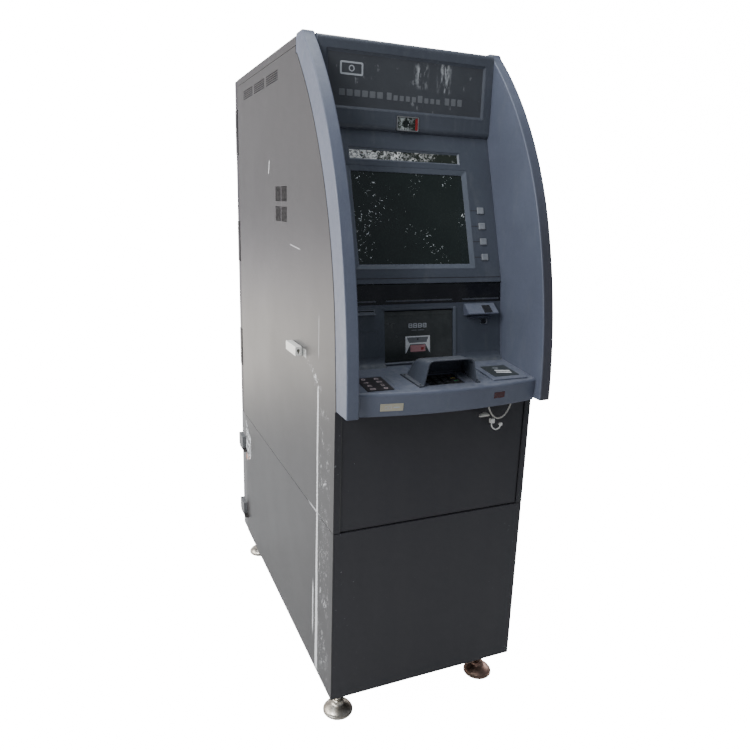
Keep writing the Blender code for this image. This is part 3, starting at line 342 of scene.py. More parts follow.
def painted_reflection(name, colour, start, end):
    """Cover with a painted reflection of sky and trees: bright at its left end, with dark leaf-like patches
    that close up towards the right.
    """
    g = Graph(name)
    reflected_leaves = g.spots(85, 4, 0.7, 0.47, 0.53, 0, 1, g.stretched(1, 1, 1.2), 1.4)
    reflected_leaves = g.math("ADD", reflected_leaves, g.spots(42, 2, 0.5, 0.4, 0.6, -0.3, 0.3))
    dark = g.math("ADD", reflected_leaves, g.fit(g.axis("X"), start, end, -0.45, 1.15), True)
    return g.done(g.mix(dark, colour, (0.022, 0.028, 0.02)), g.spots(60, 3, 0.6, 0.3, 0.7, 0.12, 0.3),
                  g.bump(g.noise(20, 2, 0.5), 0.05, 0.001))


def display_glass(name, colour):
    """Near-black display glass with dust and smears, and white specks crowded towards the left: partly
    dried water marks, partly a painted reflection of foliage.
    """
    g = Graph(name)
    base = g.mix(g.times(g.spots(9, 4, 0.6, 0.4, 0.8), 0.035), colour, (0.2, 0.24, 0.22))
    # white specks made denser towards the left: partly a painted reflection
    lean = g.fit(g.axis("X"), -0.15, 0.15, 0.03, -0.09)
    crowd = g.fit(g.math("ADD", g.noise(14, 2, 0.6), lean), 0.48, 0.57)
    splash_and_reflection = g.times(g.spots(125, 3, 0.7, 0.625, 0.655, distortion=0.6), crowd)
    g.set("Specular IOR Level", 0.6)
    dull = g.math("ADD", g.spots(16, 3, 0.6, 0.35, 0.75, 0.05, 0.16), g.times(splash_and_reflection, 0.4), True)
    return g.done(g.mix(g.times(splash_and_reflection, 0.95), base, (0.9, 0.94, 0.92)), dull,
                  g.bump(g.noise(4, 1, 0.4), 0.04, 0.002))


LOOKS = {
    "sticker": (sticker_paper, (0.66, 0.68, 0.7), {}),
    "side": (side_paint, (0.034, 0.0318, 0.0315), {}),
    "cabinet": (paint, CHARCOAL, {"rough": 0.4}),
    "fascia": (plastic, FASCIA, {"rough": 0.42, "dirt": 0.1, "dust": 0.3}),
    # the right wing's plastic, with painted shade on its front edge
    "wing_right": (plastic, FASCIA, {"rough": 0.42, "dirt": 0.1, "dust": 0.3, "right_edge_shade": True}),
    "fascia_dark": (plastic, (0.066, 0.076, 0.096), {"rough": 0.46, "dirt": 0.12, "dust": 0.3}),
    "header": (plastic, (0.07, 0.079, 0.097), {"rough": 0.44, "dirt": 0.12, "dust": 0.35}),
    "bezel": (plastic, (0.105, 0.12, 0.146), {"rough": 0.42, "dirt": 0.1}),
    "inner": (plastic, (0.03, 0.032, 0.036), {"rough": 0.55, "dirt": 0.2, "dust": 0.2}),
    "key": (plastic, (0.235, 0.25, 0.27), {"rough": 0.4, "grain": 1400, "dirt": 0.25}),
    "screen": (display_glass, (0.01, 0.016, 0.013), {}),
    "band": (gloss, (0.004, 0.004, 0.006), {"rough": 0.1, "dust": 0.1}),
    "smoked": (gloss, (0.034, 0.038, 0.036), {"rough": 0.16, "dust": 0.22}),
    "red_window": (gloss, (0.05, 0.006, 0.01), {"rough": 0.1, "dust": 0.08}),
    # grey lighter than the panel: a painted highlight along the lit ledge
    "ledge": (plastic, (0.145, 0.16, 0.185), {"rough": 0.38}),
    "hood": (plastic, (0.062, 0.071, 0.09), {"rough": 0.34, "dirt": 0.12, "dust": 0.35}),
    "front": (front_paint, CHARCOAL, {}),
    # lamp cover and camera pane: painted reflection of sky and trees
    "lamp": (painted_reflection, (0.95, 0.95, 0.9), {"start": -0.155, "end": 0.11}),
    "pane": (painted_reflection, (0.42, 0.46, 0.44), {"start": -0.055, "end": 0.06}),
    "key_dark": (plastic, (0.03, 0.031, 0.033), {"rough": 0.34, "dirt": 0.2, "dust": 0.1}),
    "rust": (steel, (0.36, 0.22, 0.175), {"rough": 0.36, "stain": 0.9}),
    "guide": (plastic, (0.06, 0.066, 0.078), {"rough": 0.3, "dirt": 0.2}),
    "sign": (sign_sheet, (0.06, 0.064, 0.071), {}),
    "print_light": (print_ink, (0.42, 0.44, 0.46), {}),
    "print_pale": (print_ink, (0.5, 0.42, 0.42), {"worn": 0.4}),
    "label": (print_ink, (0.04, 0.046, 0.046), {"rough": 0.35}),
    "print_grey": (print_ink, (0.155, 0.162, 0.172), {}),
    "print_white": (print_ink, (0.72, 0.73, 0.72), {"worn": 0.15}),
    "print_pink": (print_ink, (0.5, 0.24, 0.25), {"worn": 0.4}),
    "print_dark": (print_ink, (0.03, 0.026, 0.028), {"rough": 0.38}),
    "print_green": (print_ink, (0.06, 0.32, 0.12), {}),
    "print_yellow": (print_ink, (0.62, 0.47, 0.06), {}),
    "print_red": (print_ink, (0.3, 0.022, 0.022), {"rough": 0.2}),
    "beige": (print_ink, (0.42, 0.385, 0.285), {"rough": 0.36}),
    "white": (print_ink, (0.82, 0.81, 0.76), {"rough": 0.4, "worn": 0.06}),
    "cable": (print_ink, (0.62, 0.6, 0.54), {}),
    "chrome": (steel, (0.62, 0.58, 0.5), {"rough": 0.24, "stain": 0.75}),
    "brushed": (steel, (0.5, 0.5, 0.49), {"rough": 0.32, "brushed": (60, 1, 1), "stain": 0.15}),
    "zinc": (steel, (0.46, 0.47, 0.47), {"rough": 0.38, "brushed": (6, 6, 6), "stain": 0.2}),
    "safe": (paint, (0.15, 0.153, 0.156), {"rough": 0.52, "grime": 0.5}),
    "black": (paint, (0.016, 0.016, 0.017), {"rough": 0.45, "grime": 0.35}),
    # near-black sheet for painted shade in slots, holes and gaps
    "void": (print_ink, (0.004, 0.004, 0.004), {"rough": 0.7, "worn": 0.1}),
}
M = {name: maker(name + "_look", colour, **more) for name, (maker, colour, more) in LOOKS.items()}


# ---------------- mesh helpers
def rectangle(left, right, low, high):
    return [(left, low), (right, low), (right, high), (left, high)]


def circle(cx, cy, radius, sides):
    turn = 2 * math.pi / sides
    return [(cx + radius * math.cos(i * turn), cy + radius * math.sin(i * turn)) for i in range(sides)]


def round_rect(left, right, low, high, radius, steps=6):
    points = []
    corners = ((right - radius, low + radius, -90), (right - radius, high - radius, 0),
               (left + radius, high - radius, 90), (left + radius, low + radius, 180))
    for cx, cy, start in corners:
        for i in range(steps + 1):
            a = math.radians(start + 90 * i / steps)
            points.append((cx + radius * math.cos(a), cy + radius * math.sin(a)))
    return points


def in_space(point, axis, along):
    if axis == "X":
        return (along, point[0], point[1])
    if axis == "Y":
        return (point[0], along, point[1])
    return (point[0], point[1], along)


def bridge(bm, rings, closed=True):
    """Faces between neighbouring rings of vertices."""
    for a, b in zip(rings, rings[1:]):
        for i in range(len(a) if closed else len(a) - 1):
            j = (i + 1) % len(a)
            bm.faces.new((a[i], a[j], b[j], b[i]))


def add_loft(bm, rings):
    levels = [[bm.verts.new(p) for p in ring] for ring in rings]
    bm.faces.new(levels[0])
    bm.faces.new(levels[-1])
    bridge(bm, levels)


def add_prism(bm, outline, axis, low, high):
    add_loft(bm, [[in_space(p, axis, at) for p in outline] for at in (low, high)])


def linked(name, data):
    obj = bpy.data.objects.new(name, data)
    bpy.context.scene.collection.objects.link(obj)
    return obj


def make_object(name, bm, space=FLAT):
    """An object whose mesh is in the frame's own coordinates, so that its textures sit still on it."""
    bmesh.ops.transform(bm, matrix=space, verts=bm.verts)
    bmesh.ops.recalc_face_normals(bm, faces=bm.faces)
    mesh = bpy.data.meshes.new(name)
    bm.to_mesh(mesh)
    bm.free()
    return linked(name, mesh)


def loft(name, rings, space=FLAT):
    bm = bmesh.new()
    add_loft(bm, rings)
    return make_object(name, bm, space)


def solid(name, outline, axis, low, high, space=FLAT):
    return loft(name, [[in_space(p, axis, at) for p in outline] for at in (low, high)], space)


def turned(name, centre, profile, sides, axis="Y", space=FLAT):
    """A lathe-turned piece from (radius, place along the axis) pairs."""
    return loft(name, [[in_space(p, axis, at) for p in circle(*centre, radius, sides)]
                       for radius, at in profile], space)


def boxes(name, spans, space=FLAT):
    bm = bmesh.new()
    for low, high in spans:
        add_prism(bm, rectangle(low[0], high[0], low[1], high[1]), "Z", low[2], high[2])
    return make_object(name, bm, space)


def box(name, low, high, space=FLAT):
    return boxes(name, [(low, high)], space)


def settle(obj):
    """Replaces an object's mesh with the result of its modifiers."""
    graph = bpy.context.evaluated_depsgraph_get()
    mesh = bpy.data.meshes.new_from_object(obj.evaluated_get(graph))
    obj.modifiers.clear()
    obj.data = mesh
    return obj


def modified(obj, kind, **settings):
    modifier = obj.modifiers.new(kind.lower(), kind)
    for key, value in settings.items():
        setattr(modifier, key, value)
    return settle(obj)


def boolean(obj, other, operation="DIFFERENCE"):
    modified(obj, "BOOLEAN", operation=operation, solver="EXACT", use_self=True, object=other)
    bpy.data.objects.remove(other, do_unlink=True)
    return obj


def cut(obj, *others):
    for other in others:
        boolean(obj, other)
    return obj


def soften(obj, width, segments=2, angle=30.0):
    return modified(obj, "BEVEL", width=width, segments=segments, limit_method="ANGLE",
                    angle_limit=math.radians(angle), miter_outer="MITER_ARC")


def place(obj, material, edge=0.0, segments=2, node=None, body="cabinet"):
    """Bevels, shades and paints a piece, and lets it ride on its body."""
    if edge:
        soften(obj, edge, segments)
    for polygon in obj.data.polygons:
        polygon.use_smooth = True
    obj.data.set_sharp_from_angle(angle=math.radians(38.0))
    modified(obj, "WEIGHTED_NORMAL", keep_sharp=True)
    obj.data.materials.clear()
    obj.data.materials.append(M[material])
    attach(obj, body)
    if node:
        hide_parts(node)
    return obj


def mark(name, outline, axis, low, high, material, space=FLAT, edge=0.0, segments=2, node=None,
         body="cabinet", hole=None):
    """A plate with this outline, pierced by the hole's outline where one is given."""
    piece = solid(name, outline, axis, low, high, space)
    if hole:
        cut(piece, solid("hole", hole, axis, low - 0.002, high + 0.002, space))
    return place(piece, material, edge, segments, node, body)


def remade(node, material, edge=0.0006, segments=2):
    """A copy of a CAD node with eased edges, standing for it."""
    source = NODES[node]
    bm = bmesh.new()
    bm.from_mesh(source.data)
    bmesh.ops.remove_doubles(bm, verts=bm.verts, dist=0.000002)
    bmesh.ops.dissolve_limit(bm, angle_limit=math.radians(0.6), verts=bm.verts, edges=bm.edges)
    return place(make_object(node + "_shown", bm), material, edge, segments, node, source["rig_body"])


def ring_between(name, outer, inner, space):
    """A sloping frame between two rounded rectangles, each (left, right, low, high, depth, radius)."""
    bm = bmesh.new()
    loops = [[bm.verts.new((x, depth + back, z)) for x, z in round_rect(left, right, low, high, radius)]
             for left, right, low, high, depth, radius in (outer, inner) for back in (0.0, 0.0016)]
    bridge(bm, [loops[i] for i in (0, 2, 3, 1, 0)])
    return make_object(name, bm, space)


# ---------------- cables first
LOOP = [(0.118, 0.895), (0.119, 0.88), (0.121, 0.86), (0.125, 0.84), (0.132, 0.82), (0.144, 0.804),
        (0.159, 0.798), (0.174, 0.804), (0.186, 0.82), (0.193, 0.84), (0.197, 0.86), (0.199, 0.88),
        (0.2, 0.895)]


def spline_points(points, samples):
    """Evenly numbered points on a smooth curve through the given ones."""
    ends = [2 * Vector(points[0]) - Vector(points[1])] + [Vector(p) for p in points]
    ends.append(2 * Vector(points[-1]) - Vector(points[-2]))
    spans = len(points) - 1
    out = []
    for i in range(samples + 1):
        at = i * spans / samples
        k = min(int(at), spans - 1)
        t = at - k
        a, b, c, d = ends[k:k + 4]
        out.append(0.5 * ((2 * b) + (c - a) * t + (2 * a - 5 * b + 4 * c - d) * t * t
                          + (3 * b - a - 3 * c + d) * t * t * t))
    return out


def tube(name, points, radius, material, samples=60, resolution=4):
    curve = bpy.data.curves.new(name, "CURVE")
    curve.dimensions = "3D"
    curve.bevel_depth = radius
    curve.bevel_resolution = resolution
    curve.use_fill_caps = True
    places = spline_points(points, samples)
    spline = curve.splines.new("POLY")
    spline.points.add(len(places) - 1)
    for point, at in zip(spline.points, places):
        point.co = (*at, 1.0)
    spline.use_smooth = True
    curve.materials.append(M[material])
    return linked(name, curve), places


def make_cables():
    route = [(x, F - 0.018, z) for x, z in LOOP]
    loop, places = tube("cable_loop_shown", route, 0.0021, "cable")
    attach(loop, "cabinet")
    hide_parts("cable_loop")


make_cables()


# ---------------- sheet metal of the cabinet
def leaning_curve(y, z, lean, stretches, steps):
    """Points up a curve that starts at a lean and follows arcs, each given as (radius, top)."""
    points = [(y, z)]
    for radius, top in stretches:
        last = math.asin(math.sin(lean) + (top - z) / radius)
        for i in range(1, steps + 1):
            a = lean + (last - lean) * i / steps
            points.append((y + radius * (math.cos(lean) - math.cos(a)),
                           z + radius * (math.sin(a) - math.sin(lean))))
        y, z = points[-1]
        lean = last
    return points


FRONT_CURVE = leaning_curve(F - 0.0727, WING_BOTTOM, 0.0, [(1.381, 1.269), (0.921, 1.672)], 26)
REAR_CURVE = leaning_curve(F - 0.009, WING_BOTTOM, math.radians(4.0), [(9.47, 1.026), (0.969, 1.64)], 26)


def inset(outline, distance):
    moved = []
    for i, point in enumerate(outline):
        before = Vector(point) - Vector(outline[i - 1])
        after = Vector(outline[(i + 1) % len(outline)]) - Vector(point)
        a = Vector((-before.y, before.x)).normalized()
        b = Vector((-after.y, after.x)).normalized()
        middle = (a + b).normalized()
        moved.append(tuple(Vector(point) + middle * (distance / max(0.3, middle.dot(a)))))
    return moved


def panel_outline():
    curve = [(y + 0.0015, z) for y, z in REAR_CURVE]
    step = REAR_CURVE[-1][1] - 0.0015
    curve[-1] = (curve[-1][0], step)
    rear, top, front, foot = R - 0.0425, 1.6565, WING_BACK + 0.0015, ZS + 0.00075
    return [(F, foot), (rear, foot), (rear, top), (front, top), (front, step), *reversed(curve),
            (F, WING_BOTTOM - 0.0015)]


def vent_slots(low, high):
    """Cutters for three slotted groups near the top and four louvred squares."""
    for i in range(3):
        y0, z0 = R - 0.132 - i * 0.1455 - 0.125, 1.6055
        for row in range(5):
            z = z0 + row * 0.0055
            for k in range(14):
                y = y0 + k * 0.125 / 14
                yield (low, y, z), (high, y + 0.0064, z + 0.0034)
    for i in range(2):
        for j in range(2):
            y = R - 0.518 - i * 0.06
            for row in range(12):
                z = 1.25 + j * 0.052 + row * 0.00325
                yield (low, y - 0.055, z), (high, y, z + 0.0021)


def across(side, *places):
    """Distances from the middle, as x on one side, in rising order."""
    return sorted(side * place for place in places)


def side_panel(word, side):
    outline = panel_outline()
    skin = solid(f"{word}_side_panel_shown", outline, "X", *across(side, HALF, HALF - 0.0175))
    cut(skin, solid("hollow", inset(outline, 0.002), "X", *across(side, 0.263, 0.245)),
        boxes("vents", vent_slots(*across(side, 0.26, 0.268))))
    place(skin, "side" if side < 0 else "cabinet", node=f"{word}_side_panel")


def make_hinges():
    """Dark rear door hinges at three heights, on the left side panel and the door's edge."""
    x, y = -HALF + 0.0048, R - 0.0338
    for i, (low, high) in enumerate(((0.7235, 0.857), (1.096, 1.2305), (1.448, 1.588))):
        mark(f"rear_hinge_knuckle_{i}", circle(x, y, 0.004, 20), "Z", low + 0.003, high - 0.003, "black",
             edge=0.0006)
        near, far = (x - 0.0013, R - 0.045, low + 0.006), (x + 0.0013, y, high - 0.006)
        place(box(f"rear_hinge_leaf_{i}", near, far), "black", 0.0003)
        near, far = (-HALF - 0.001, R - 0.03, low), (-HALF + 0.0003, R - 0.0015, high)
        place(box(f"rear_hinge_strap_{i}", near, far), "black", 0.0004, body="rear_service_door")


def make_cabinet():
    for side, word in SIDES:
        side_panel(word, side)
    make_hinges()
    remade("left_safe_cladding", "side", 0.0007)
    remade("right_safe_cladding", "cabinet", 0.0007)
    remade("lower_front_panel", "front", 0.0008)
    remade("upper_front_panel", "front", 0.001)
    for side, word in SIDES:
        a, b = across(side, 0.2647, 0.2492)
        near, far = (a, F - 0.0004, ZS + 0.0012), (b, F + 0.0004, WING_BOTTOM - 0.002)
        place(box(f"front_jamb_{word}", near, far), "front")
    remade("top_cover", "side", 0.0012)
    remade("upper_frame", "zinc", 0.0012)
    remade("base_frame", "black", 0.001)


make_cabinet()


# ---------------- wings
def make_gap_shade(word, side):
    """Near-black strip in the gap between the wing and the sheet steel: painted shade in the gap."""
    near = [(y - 0.0004, z) for y, z in REAR_CURVE]
    far = [(y + 0.0042, z) for y, z in REAR_CURVE]
    mark(f"{word}_wing_gap_shade", near + far[::-1], "X", *across(side, HALF + 0.0004, HALF - 0.004), "void")


def make_wing(word, side):
    outline = [(F + 0.12, WING_BOTTOM), (F + 0.128, 0.925), (F + 0.152, 1.1), (F + 0.256, 1.462),
               (WING_BACK, 1.64), (WING_BACK, WING_TOP - 0.004), (WING_BACK - 0.004, WING_TOP),
               (F + 0.264, WING_TOP), (F + 0.256, WING_TOP - 0.0025), *reversed(FRONT_CURVE)]
    skin = solid(f"{word}_wing_shown", outline, "X", *across(side, HALF, HALF - 0.0295))
    soften(skin, 0.0046, 4, 40.0)
    behind = [*REAR_CURVE, (WING_BACK - 0.0005, 1.64), (WING_BACK - 0.0005, 1.7), (WING_BACK + 0.02, 1.7),
              (WING_BACK + 0.02, 0.8), (F - 0.009, 0.8)]
    front = [(y + 0.004, z) for y, z in FRONT_CURVE]
    cavity = [(WING_BACK + 0.01, WING_BOTTOM + 0.004), (WING_BACK + 0.01, WING_TOP - 0.004),
              (F + 0.262, WING_TOP - 0.004), *front[-3:0:-1], (front[0][0], WING_BOTTOM + 0.004)]
    cut(skin, solid("behind", behind, "X", *across(side, HALF + 0.002, HALF - 0.0255)),
        solid("cavity", cavity, "X", *across(side, HALF - 0.004, HALF - 0.0255)))
    # the right wing takes the plastic with painted shade on its front edge
    place(skin, "fascia" if side < 0 else "wing_right", node=f"{word}_wing")


for make in (make_gap_shade, make_wing):
    for side, word in SIDES:
        make(word, side)


# ---------------- header, sign and camera
FACE = F + 0.2385


def make_header():
    low, top = 1.4735, 1.6755
    back, inner = WING_BACK + 0.0015, FACE + 0.016
    arc = [(FACE + 0.014 - 0.014 * math.sin(a), low + 0.014 - 0.014 * math.cos(a))
           for a in (math.radians(90 * i / 8) for i in range(9))]
    crown = [(FACE + 0.012 - 0.012 * math.cos(a), top - 0.012 + 0.012 * math.sin(a))
             for a in (math.radians(90 * i / 6) for i in range(7))]
    outline = [(back, top - 0.004), (inner, top - 0.004), (inner, low), *arc, *crown, (back, top)]
    header = solid("header_shown", outline, "X", -INNER, INNER)
    pocket = round_rect(-0.2135, 0.2135, 1.519, 1.6465, 0.003)
    eye = round_rect(-0.0305, 0.0305, 1.478, 1.513, 0.002)
    cut(header, solid("pocket", pocket, "Y", FACE - 0.002, FACE + 0.006),
        solid("eye", eye, "Y", FACE - 0.002, FACE + 0.02))
    place(header, "header", 0.0009, node="header")
    place(ring_between("sign_bezel", (-0.2133, 0.2133, 1.5192, 1.6463, FACE + 0.0006, 0.003),
                       (-0.207, 0.207, 1.5256, 1.64, FACE + 0.0042, 0.001), FLAT), "header", 0.0002, 1)
    mark("sign_panel_shown", round_rect(-0.21, 0.21, 1.5225, 1.643, 0.002), "Y", FACE + 0.004,
         FACE + 0.0057, "sign", FLAT, 0.0003, 1, "sign_panel")


def make_sign_print():
    """A banknote outline, and a row of plain blocks where lettering would be."""
    span = ("Y", FACE + 0.0037, FACE + 0.0043)
    mark("sign_note_frame", round_rect(-0.178, -0.12, 1.5935, 1.623, 0.004), *span, "print_light",
         hole=round_rect(-0.174, -0.124, 1.5975, 1.619, 0.002))
    mark("sign_note_ring", circle(-0.149, 1.60825, 0.0072, 32), *span, "print_light",
         hole=circle(-0.149, 1.60825, 0.0048, 32))
    at = -0.18
    for i in range(6):
        mark(f"sign_block_{i}", round_rect(at, at + 0.015, 1.548, 1.5625, 0.0015), *span, "print_grey")
        at += 0.0195
    at += 0.006
    for i, shape in enumerate("TssssTsss TTT"):
        if shape == " ":
            at += 0.008
            continue
        wide, top = (0.0125, 1.5635) if shape == "T" else (0.0108, 1.559)
        mark(f"sign_letter_bar_{i}", round_rect(at, at + wide, 1.547, top, 0.0015), *span, "print_grey")
        at += wide + 0.0056


def make_eye():
    """Camera window: bright frame, a pane with a painted reflection, dark lens and a dull red filter at its
    right end.
    """
    place(box("camera_shown", (-0.029, FACE + 0.004, 1.4795), (0.029, FACE + 0.049, 1.5115)), "inner",
          0.001, node="camera")
    mark("camera_rim", round_rect(-0.03, 0.03, 1.4785, 1.5125, 0.003), "Y", FACE - 0.0012, FACE + 0.0042,
         "brushed", edge=0.0004, hole=round_rect(-0.0275, 0.0275, 1.481, 1.51, 0.002))
    # the pane carries a painted reflection; the filter is plain red print
    for name, left, right, near, look, edge, segments in (
            ("camera_pane", -0.0274, 0.0212, 0.0012, "pane", 0.0003, 1),
            ("camera_filter", 0.0216, 0.0274, 0.0006, "print_red", 0.0004, 2)):
        mark(name, round_rect(left, right, 1.4811, 1.5099, 0.0015), "Y", FACE + near, FACE + 0.003, look,
             FLAT, edge, segments)
    profile = [(r, FACE + y) for r, y in ((0.0085, 0.0012), (0.0085, -0.0004), (0.007, -0.0008),
                                          (0.006, 0.0004), (0.004, 0.0008), (0.0015, 0.0005))]
    place(turned("camera_lens", (-0.004, 1.4955), profile, 32), "screen")


make_header()
make_sign_print()
make_eye()


# ---------------- monitor panel
KEY_X, KEY_Z, KEY_STEP = 0.1926, 0.0641, 0.0403


def make_monitor():
    left, right = SCREEN_X - SCREEN_W / 2, SCREEN_X + SCREEN_W / 2
    foot, head, rim = SCREEN_FOOT, SCREEN_FOOT + SCREEN_H, 0.0125
    plate = solid("monitor_panel_shown", rectangle(-INNER, INNER, 0.0, 0.374), "Y", 0.0, 0.006, MON)
    hole = round_rect(left - rim, right + rim, foot - rim, head + rim, 0.004)
    cut(plate, solid("hole", hole, "Y", -0.01, 0.02, MON),
        solid("slit", round_rect(-0.1595, 0.1455, 0.303, 0.3335, 0.0015), "Y", -0.01, 0.02, MON))
    spans, lines = [], []
    for side, word in SIDES:
        for i in range(4):
            x, z, edge = side * KEY_X, KEY_Z + i * KEY_STEP, right if side > 0 else left
            spans.append(((x - 0.0101, -0.01, z - 0.0091), (x + 0.0101, 0.02, z + 0.0091)))
            a, b = sorted((edge + side * (rim - 0.001), x - side * 0.008))
            spans.append(((a, -0.002, z - 0.0006), (b, 0.0009, z + 0.0006)))
            a, b = sorted((edge + side * (rim + 0.0005), x - side * 0.01))
            lines.append((f"key_line_{word}_{i}", rectangle(a, b, z - 0.0008, z + 0.0008)))
    cut(plate, boxes("keys", spans, MON), box("groove", (-0.3, -0.002, 0.0125), (0.3, 0.0007, 0.0135), MON))
    place(plate, "fascia_dark", 0.0006, node="monitor_panel")
    grown = rim - 0.0002
    outer = (left - grown, right + grown, foot - grown, head + grown, 0.0004, 0.004)
    inner = (left, right, foot, head, 0.0047, 0.0015)
    place(ring_between("screen_bezel", outer, inner, MON), "bezel", 0.0003)
    for name, outline in lines + [("panel_seam", rectangle(-0.2345, 0.2345, 0.0118, 0.013))]:
        mark(name, outline, "Y", -0.0002, 0.0006, "print_dark", MON)
    place(ring_between("slit_bezel", (-0.1592, 0.1452, 0.3033, 0.3332, 0.0006, 0.0015),
                       (-0.155, 0.141, 0.3075, 0.329, 0.0044, 0.001), MON), "bezel", 0.0002, 1)
    place(box("panel_top_return", (-0.2345, 0.0003, 0.3734), (0.2345, 0.005, 0.381), MON), "fascia_dark")
    remade("screen_glass", "screen", 0.0004, 1)
    remade("slit_window", "screen", 0.0004, 1)
    # lamp cover with a painted reflection: bright at the left, darkening to the right
    mark("lamp_cover", round_rect(-0.1548, 0.1408, 0.3076, 0.3289, 0.001), "Y", 0.004, 0.0052, "lamp", MON)
    remade("monitor", "black", 0.0012)


def make_function_keys():
    """Caps with a rounded rim and a dished top."""
    for side, word in SIDES:
        for i in range(4):
            node = f"function_key_{word}_{i + 1}"
            x, z = side * KEY_X, KEY_Z + (3 - i) * KEY_STEP
            rings = []
            for grow, depth in ((0.0, 0.0085), (0.0, -0.0016), (-0.001, -0.0025), (-0.003, -0.0025),
                                (-0.0042, -0.0019)):
                wide, tall, radius = 0.0094 + grow, 0.0084 + grow, 0.0016 + grow * 0.2
                outline = round_rect(x - wide, x + wide, z - tall, z + tall, radius, 3)
                rings.append([(px, depth, pz) for px, pz in outline])
            place(loft(node + "_shown", rings, MON), "key", node=node, body=NODES[node]["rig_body"])


make_monitor()
make_function_keys()


# ---------------- lower fascia
def concave_strip(name, left, right, radius=0.019):
    """Hollow fillet between the lower panel and the shelf."""
    corner = Vector((F + 0.1097, 0.9196))
    up = Vector((math.sin(LOWER_TILT), math.cos(LOWER_TILT)))
    out = -Vector((math.cos(SHELF_TILT), math.sin(SHELF_TILT)))
    a, b = corner + up * radius, corner + out * radius
    arc = []
    for i in range(11):
        t = i / 10
        arc.append(tuple((1 - t) ** 2 * a + 2 * t * (1 - t) * (corner + (up + out) * 0.0012) + t * t * b))
    outline = arc + [tuple(b + Vector((0, -0.0006))), tuple(corner + Vector((0.0004, -0.0006))),
                     tuple(a + Vector((0.0006, 0)))]
    mark(name, outline, "X", left, right, "fascia_dark")


def make_lower():
    plate = solid("lower_panel_shown", rectangle(-INNER, INNER, 0.0, 0.1482), "Y", 0.0, 0.006, LOW)
    cut(plate, solid("window", round_rect(-0.0963, 0.0927, 0.006, 0.1325, 0.0015), "Y", -0.01, 0.02, LOW),
        boxes("slots", [((-0.2075, -0.01, 0.123), (-0.121, 0.02, 0.137)),
                        ((0.143, -0.01, 0.111), (0.196, 0.02, 0.114))], LOW))
    for left, right, low, high in ((-0.206, -0.2052, 0.019, 0.083), (-0.1148, -0.114, 0.019, 0.083),
                                   (-0.206, -0.114, 0.0824, 0.0832), (-0.206, -0.114, 0.019, 0.0198)):
        cut(plate, box("line", (left, -0.01, low), (right, 0.0007, high), LOW))
    place(plate, "fascia_dark", 0.0006, node="lower_panel")
    # the right bead and the sill take the lighter bezel grey as a painted highlight along them; the top
    # bead keeps the dark panel colour
    mark("window_bead_right", round_rect(0.0936, 0.1016, 0.004, 0.1385, 0.0035), "Y", -0.0032, 0.0002,
         "bezel", LOW, 0.0012, 3)
    mark("window_bead_top", round_rect(-0.1, 0.1016, 0.134, 0.1392, 0.002), "Y", -0.0018, 0.0002,
         "fascia_dark", LOW, 0.0008)
    mark("window_sill", [(-0.0085, 0.0004), (-0.0085, 0.0034), (-0.007, 0.0048), (0.0002, 0.0058),
                         (0.0002, 0.0004)], "X", -0.0985, 0.0936, "bezel", LOW, 0.0006)
    concave_strip("shelf_fillet_left", -INNER, -0.099)
    concave_strip("shelf_fillet_right", 0.102, INNER)
    remade("status_band", "band", 0.0006)
    remade("light_guide", "guide", 0.0003, 1)
    # receipt printer and lip in the lighter ledge grey: painted highlight
    remade("receipt_printer", "ledge", 0.0005)
    # near-black plate in the receipt slot: painted shade
    mark("receipt_slot_shade", rectangle(-0.207, -0.1215, 0.1318, 0.1366), "Y", 0.001, 0.006, "void", LOW)
    mark("receipt_lip", round_rect(-0.2068, -0.1217, 0.1236, 0.1312, 0.0015), "Y", -0.003, 0.002, "ledge",
         LOW, 0.001, 3)


def make_cover():
    """Smoked push cover with a plain banknote pictogram."""
    cover = solid("cash_cover_shown", round_rect(-0.0956, 0.092, 0.0067, 0.1299, 0.0015), "Y", 0.001, 0.005,
                  LOW)
    boolean(cover, solid("rib", round_rect(-0.09, 0.0865, 0.1195, 0.1262, 0.002), "Y", 0.0004, 0.002, LOW),
            "UNION")
    place(cover, "smoked", 0.0006, node="cash_cover", body="cover")

    def ink(name, outline, material, proud=0.0008, hole=None):
        return mark("cover_print_" + name, outline, "Y", proud, 0.0012, material, LOW, body="cover",
                    hole=hole)

    ink("tray", rectangle(-0.04, 0.028, 0.026, 0.068), "print_white",
        hole=[(-0.0385, 0.02), (0.0265, 0.02), (0.0265, 0.0264), (0.015, 0.0475), (-0.027, 0.0475),
              (-0.0385, 0.0264)])
    ink("panel", [(-0.03, 0.0515), (0.018, 0.0515), (0.024, 0.065), (-0.036, 0.065)], "print_grey", 0.0007)
    ink("note", round_rect(-0.0265, 0.015, 0.0285, 0.0455, 0.002), "print_pink", 0.0007,
        round_rect(0.003, 0.0105, 0.0325, 0.0395, 0.001))
    ink("dot", round_rect(0.0032, 0.0103, 0.0327, 0.0393, 0.001), "print_red", 0.0007)
    ink("eye", circle(-0.006, 0.0602, 0.0022, 20), "print_dark", 0.0006)
    for i in range(4):
        x = -0.031 + i * 0.013
        block = solid(f"cover_print_block_{i}", round_rect(x, x + 0.0105, 0.0885, 0.0995, 0.001), "Y",
                      0.0008, 0.0012, LOW)
        cut(block, boxes("holes", [((x + 0.0022, -0.001, 0.0905), (x + 0.0083, 0.003, 0.093)),
                                   ((x + 0.0022, -0.001, 0.095), (x + 0.0083, 0.003, 0.0975))], LOW))
        place(block, "print_light", body="cover")
    for i, (a, b) in enumerate(((-0.023, -0.009), (-0.006, 0.012))):
        ink(f"bar_{i}", round_rect(a, b, 0.0815, 0.0838, 0.001), "print_grey")


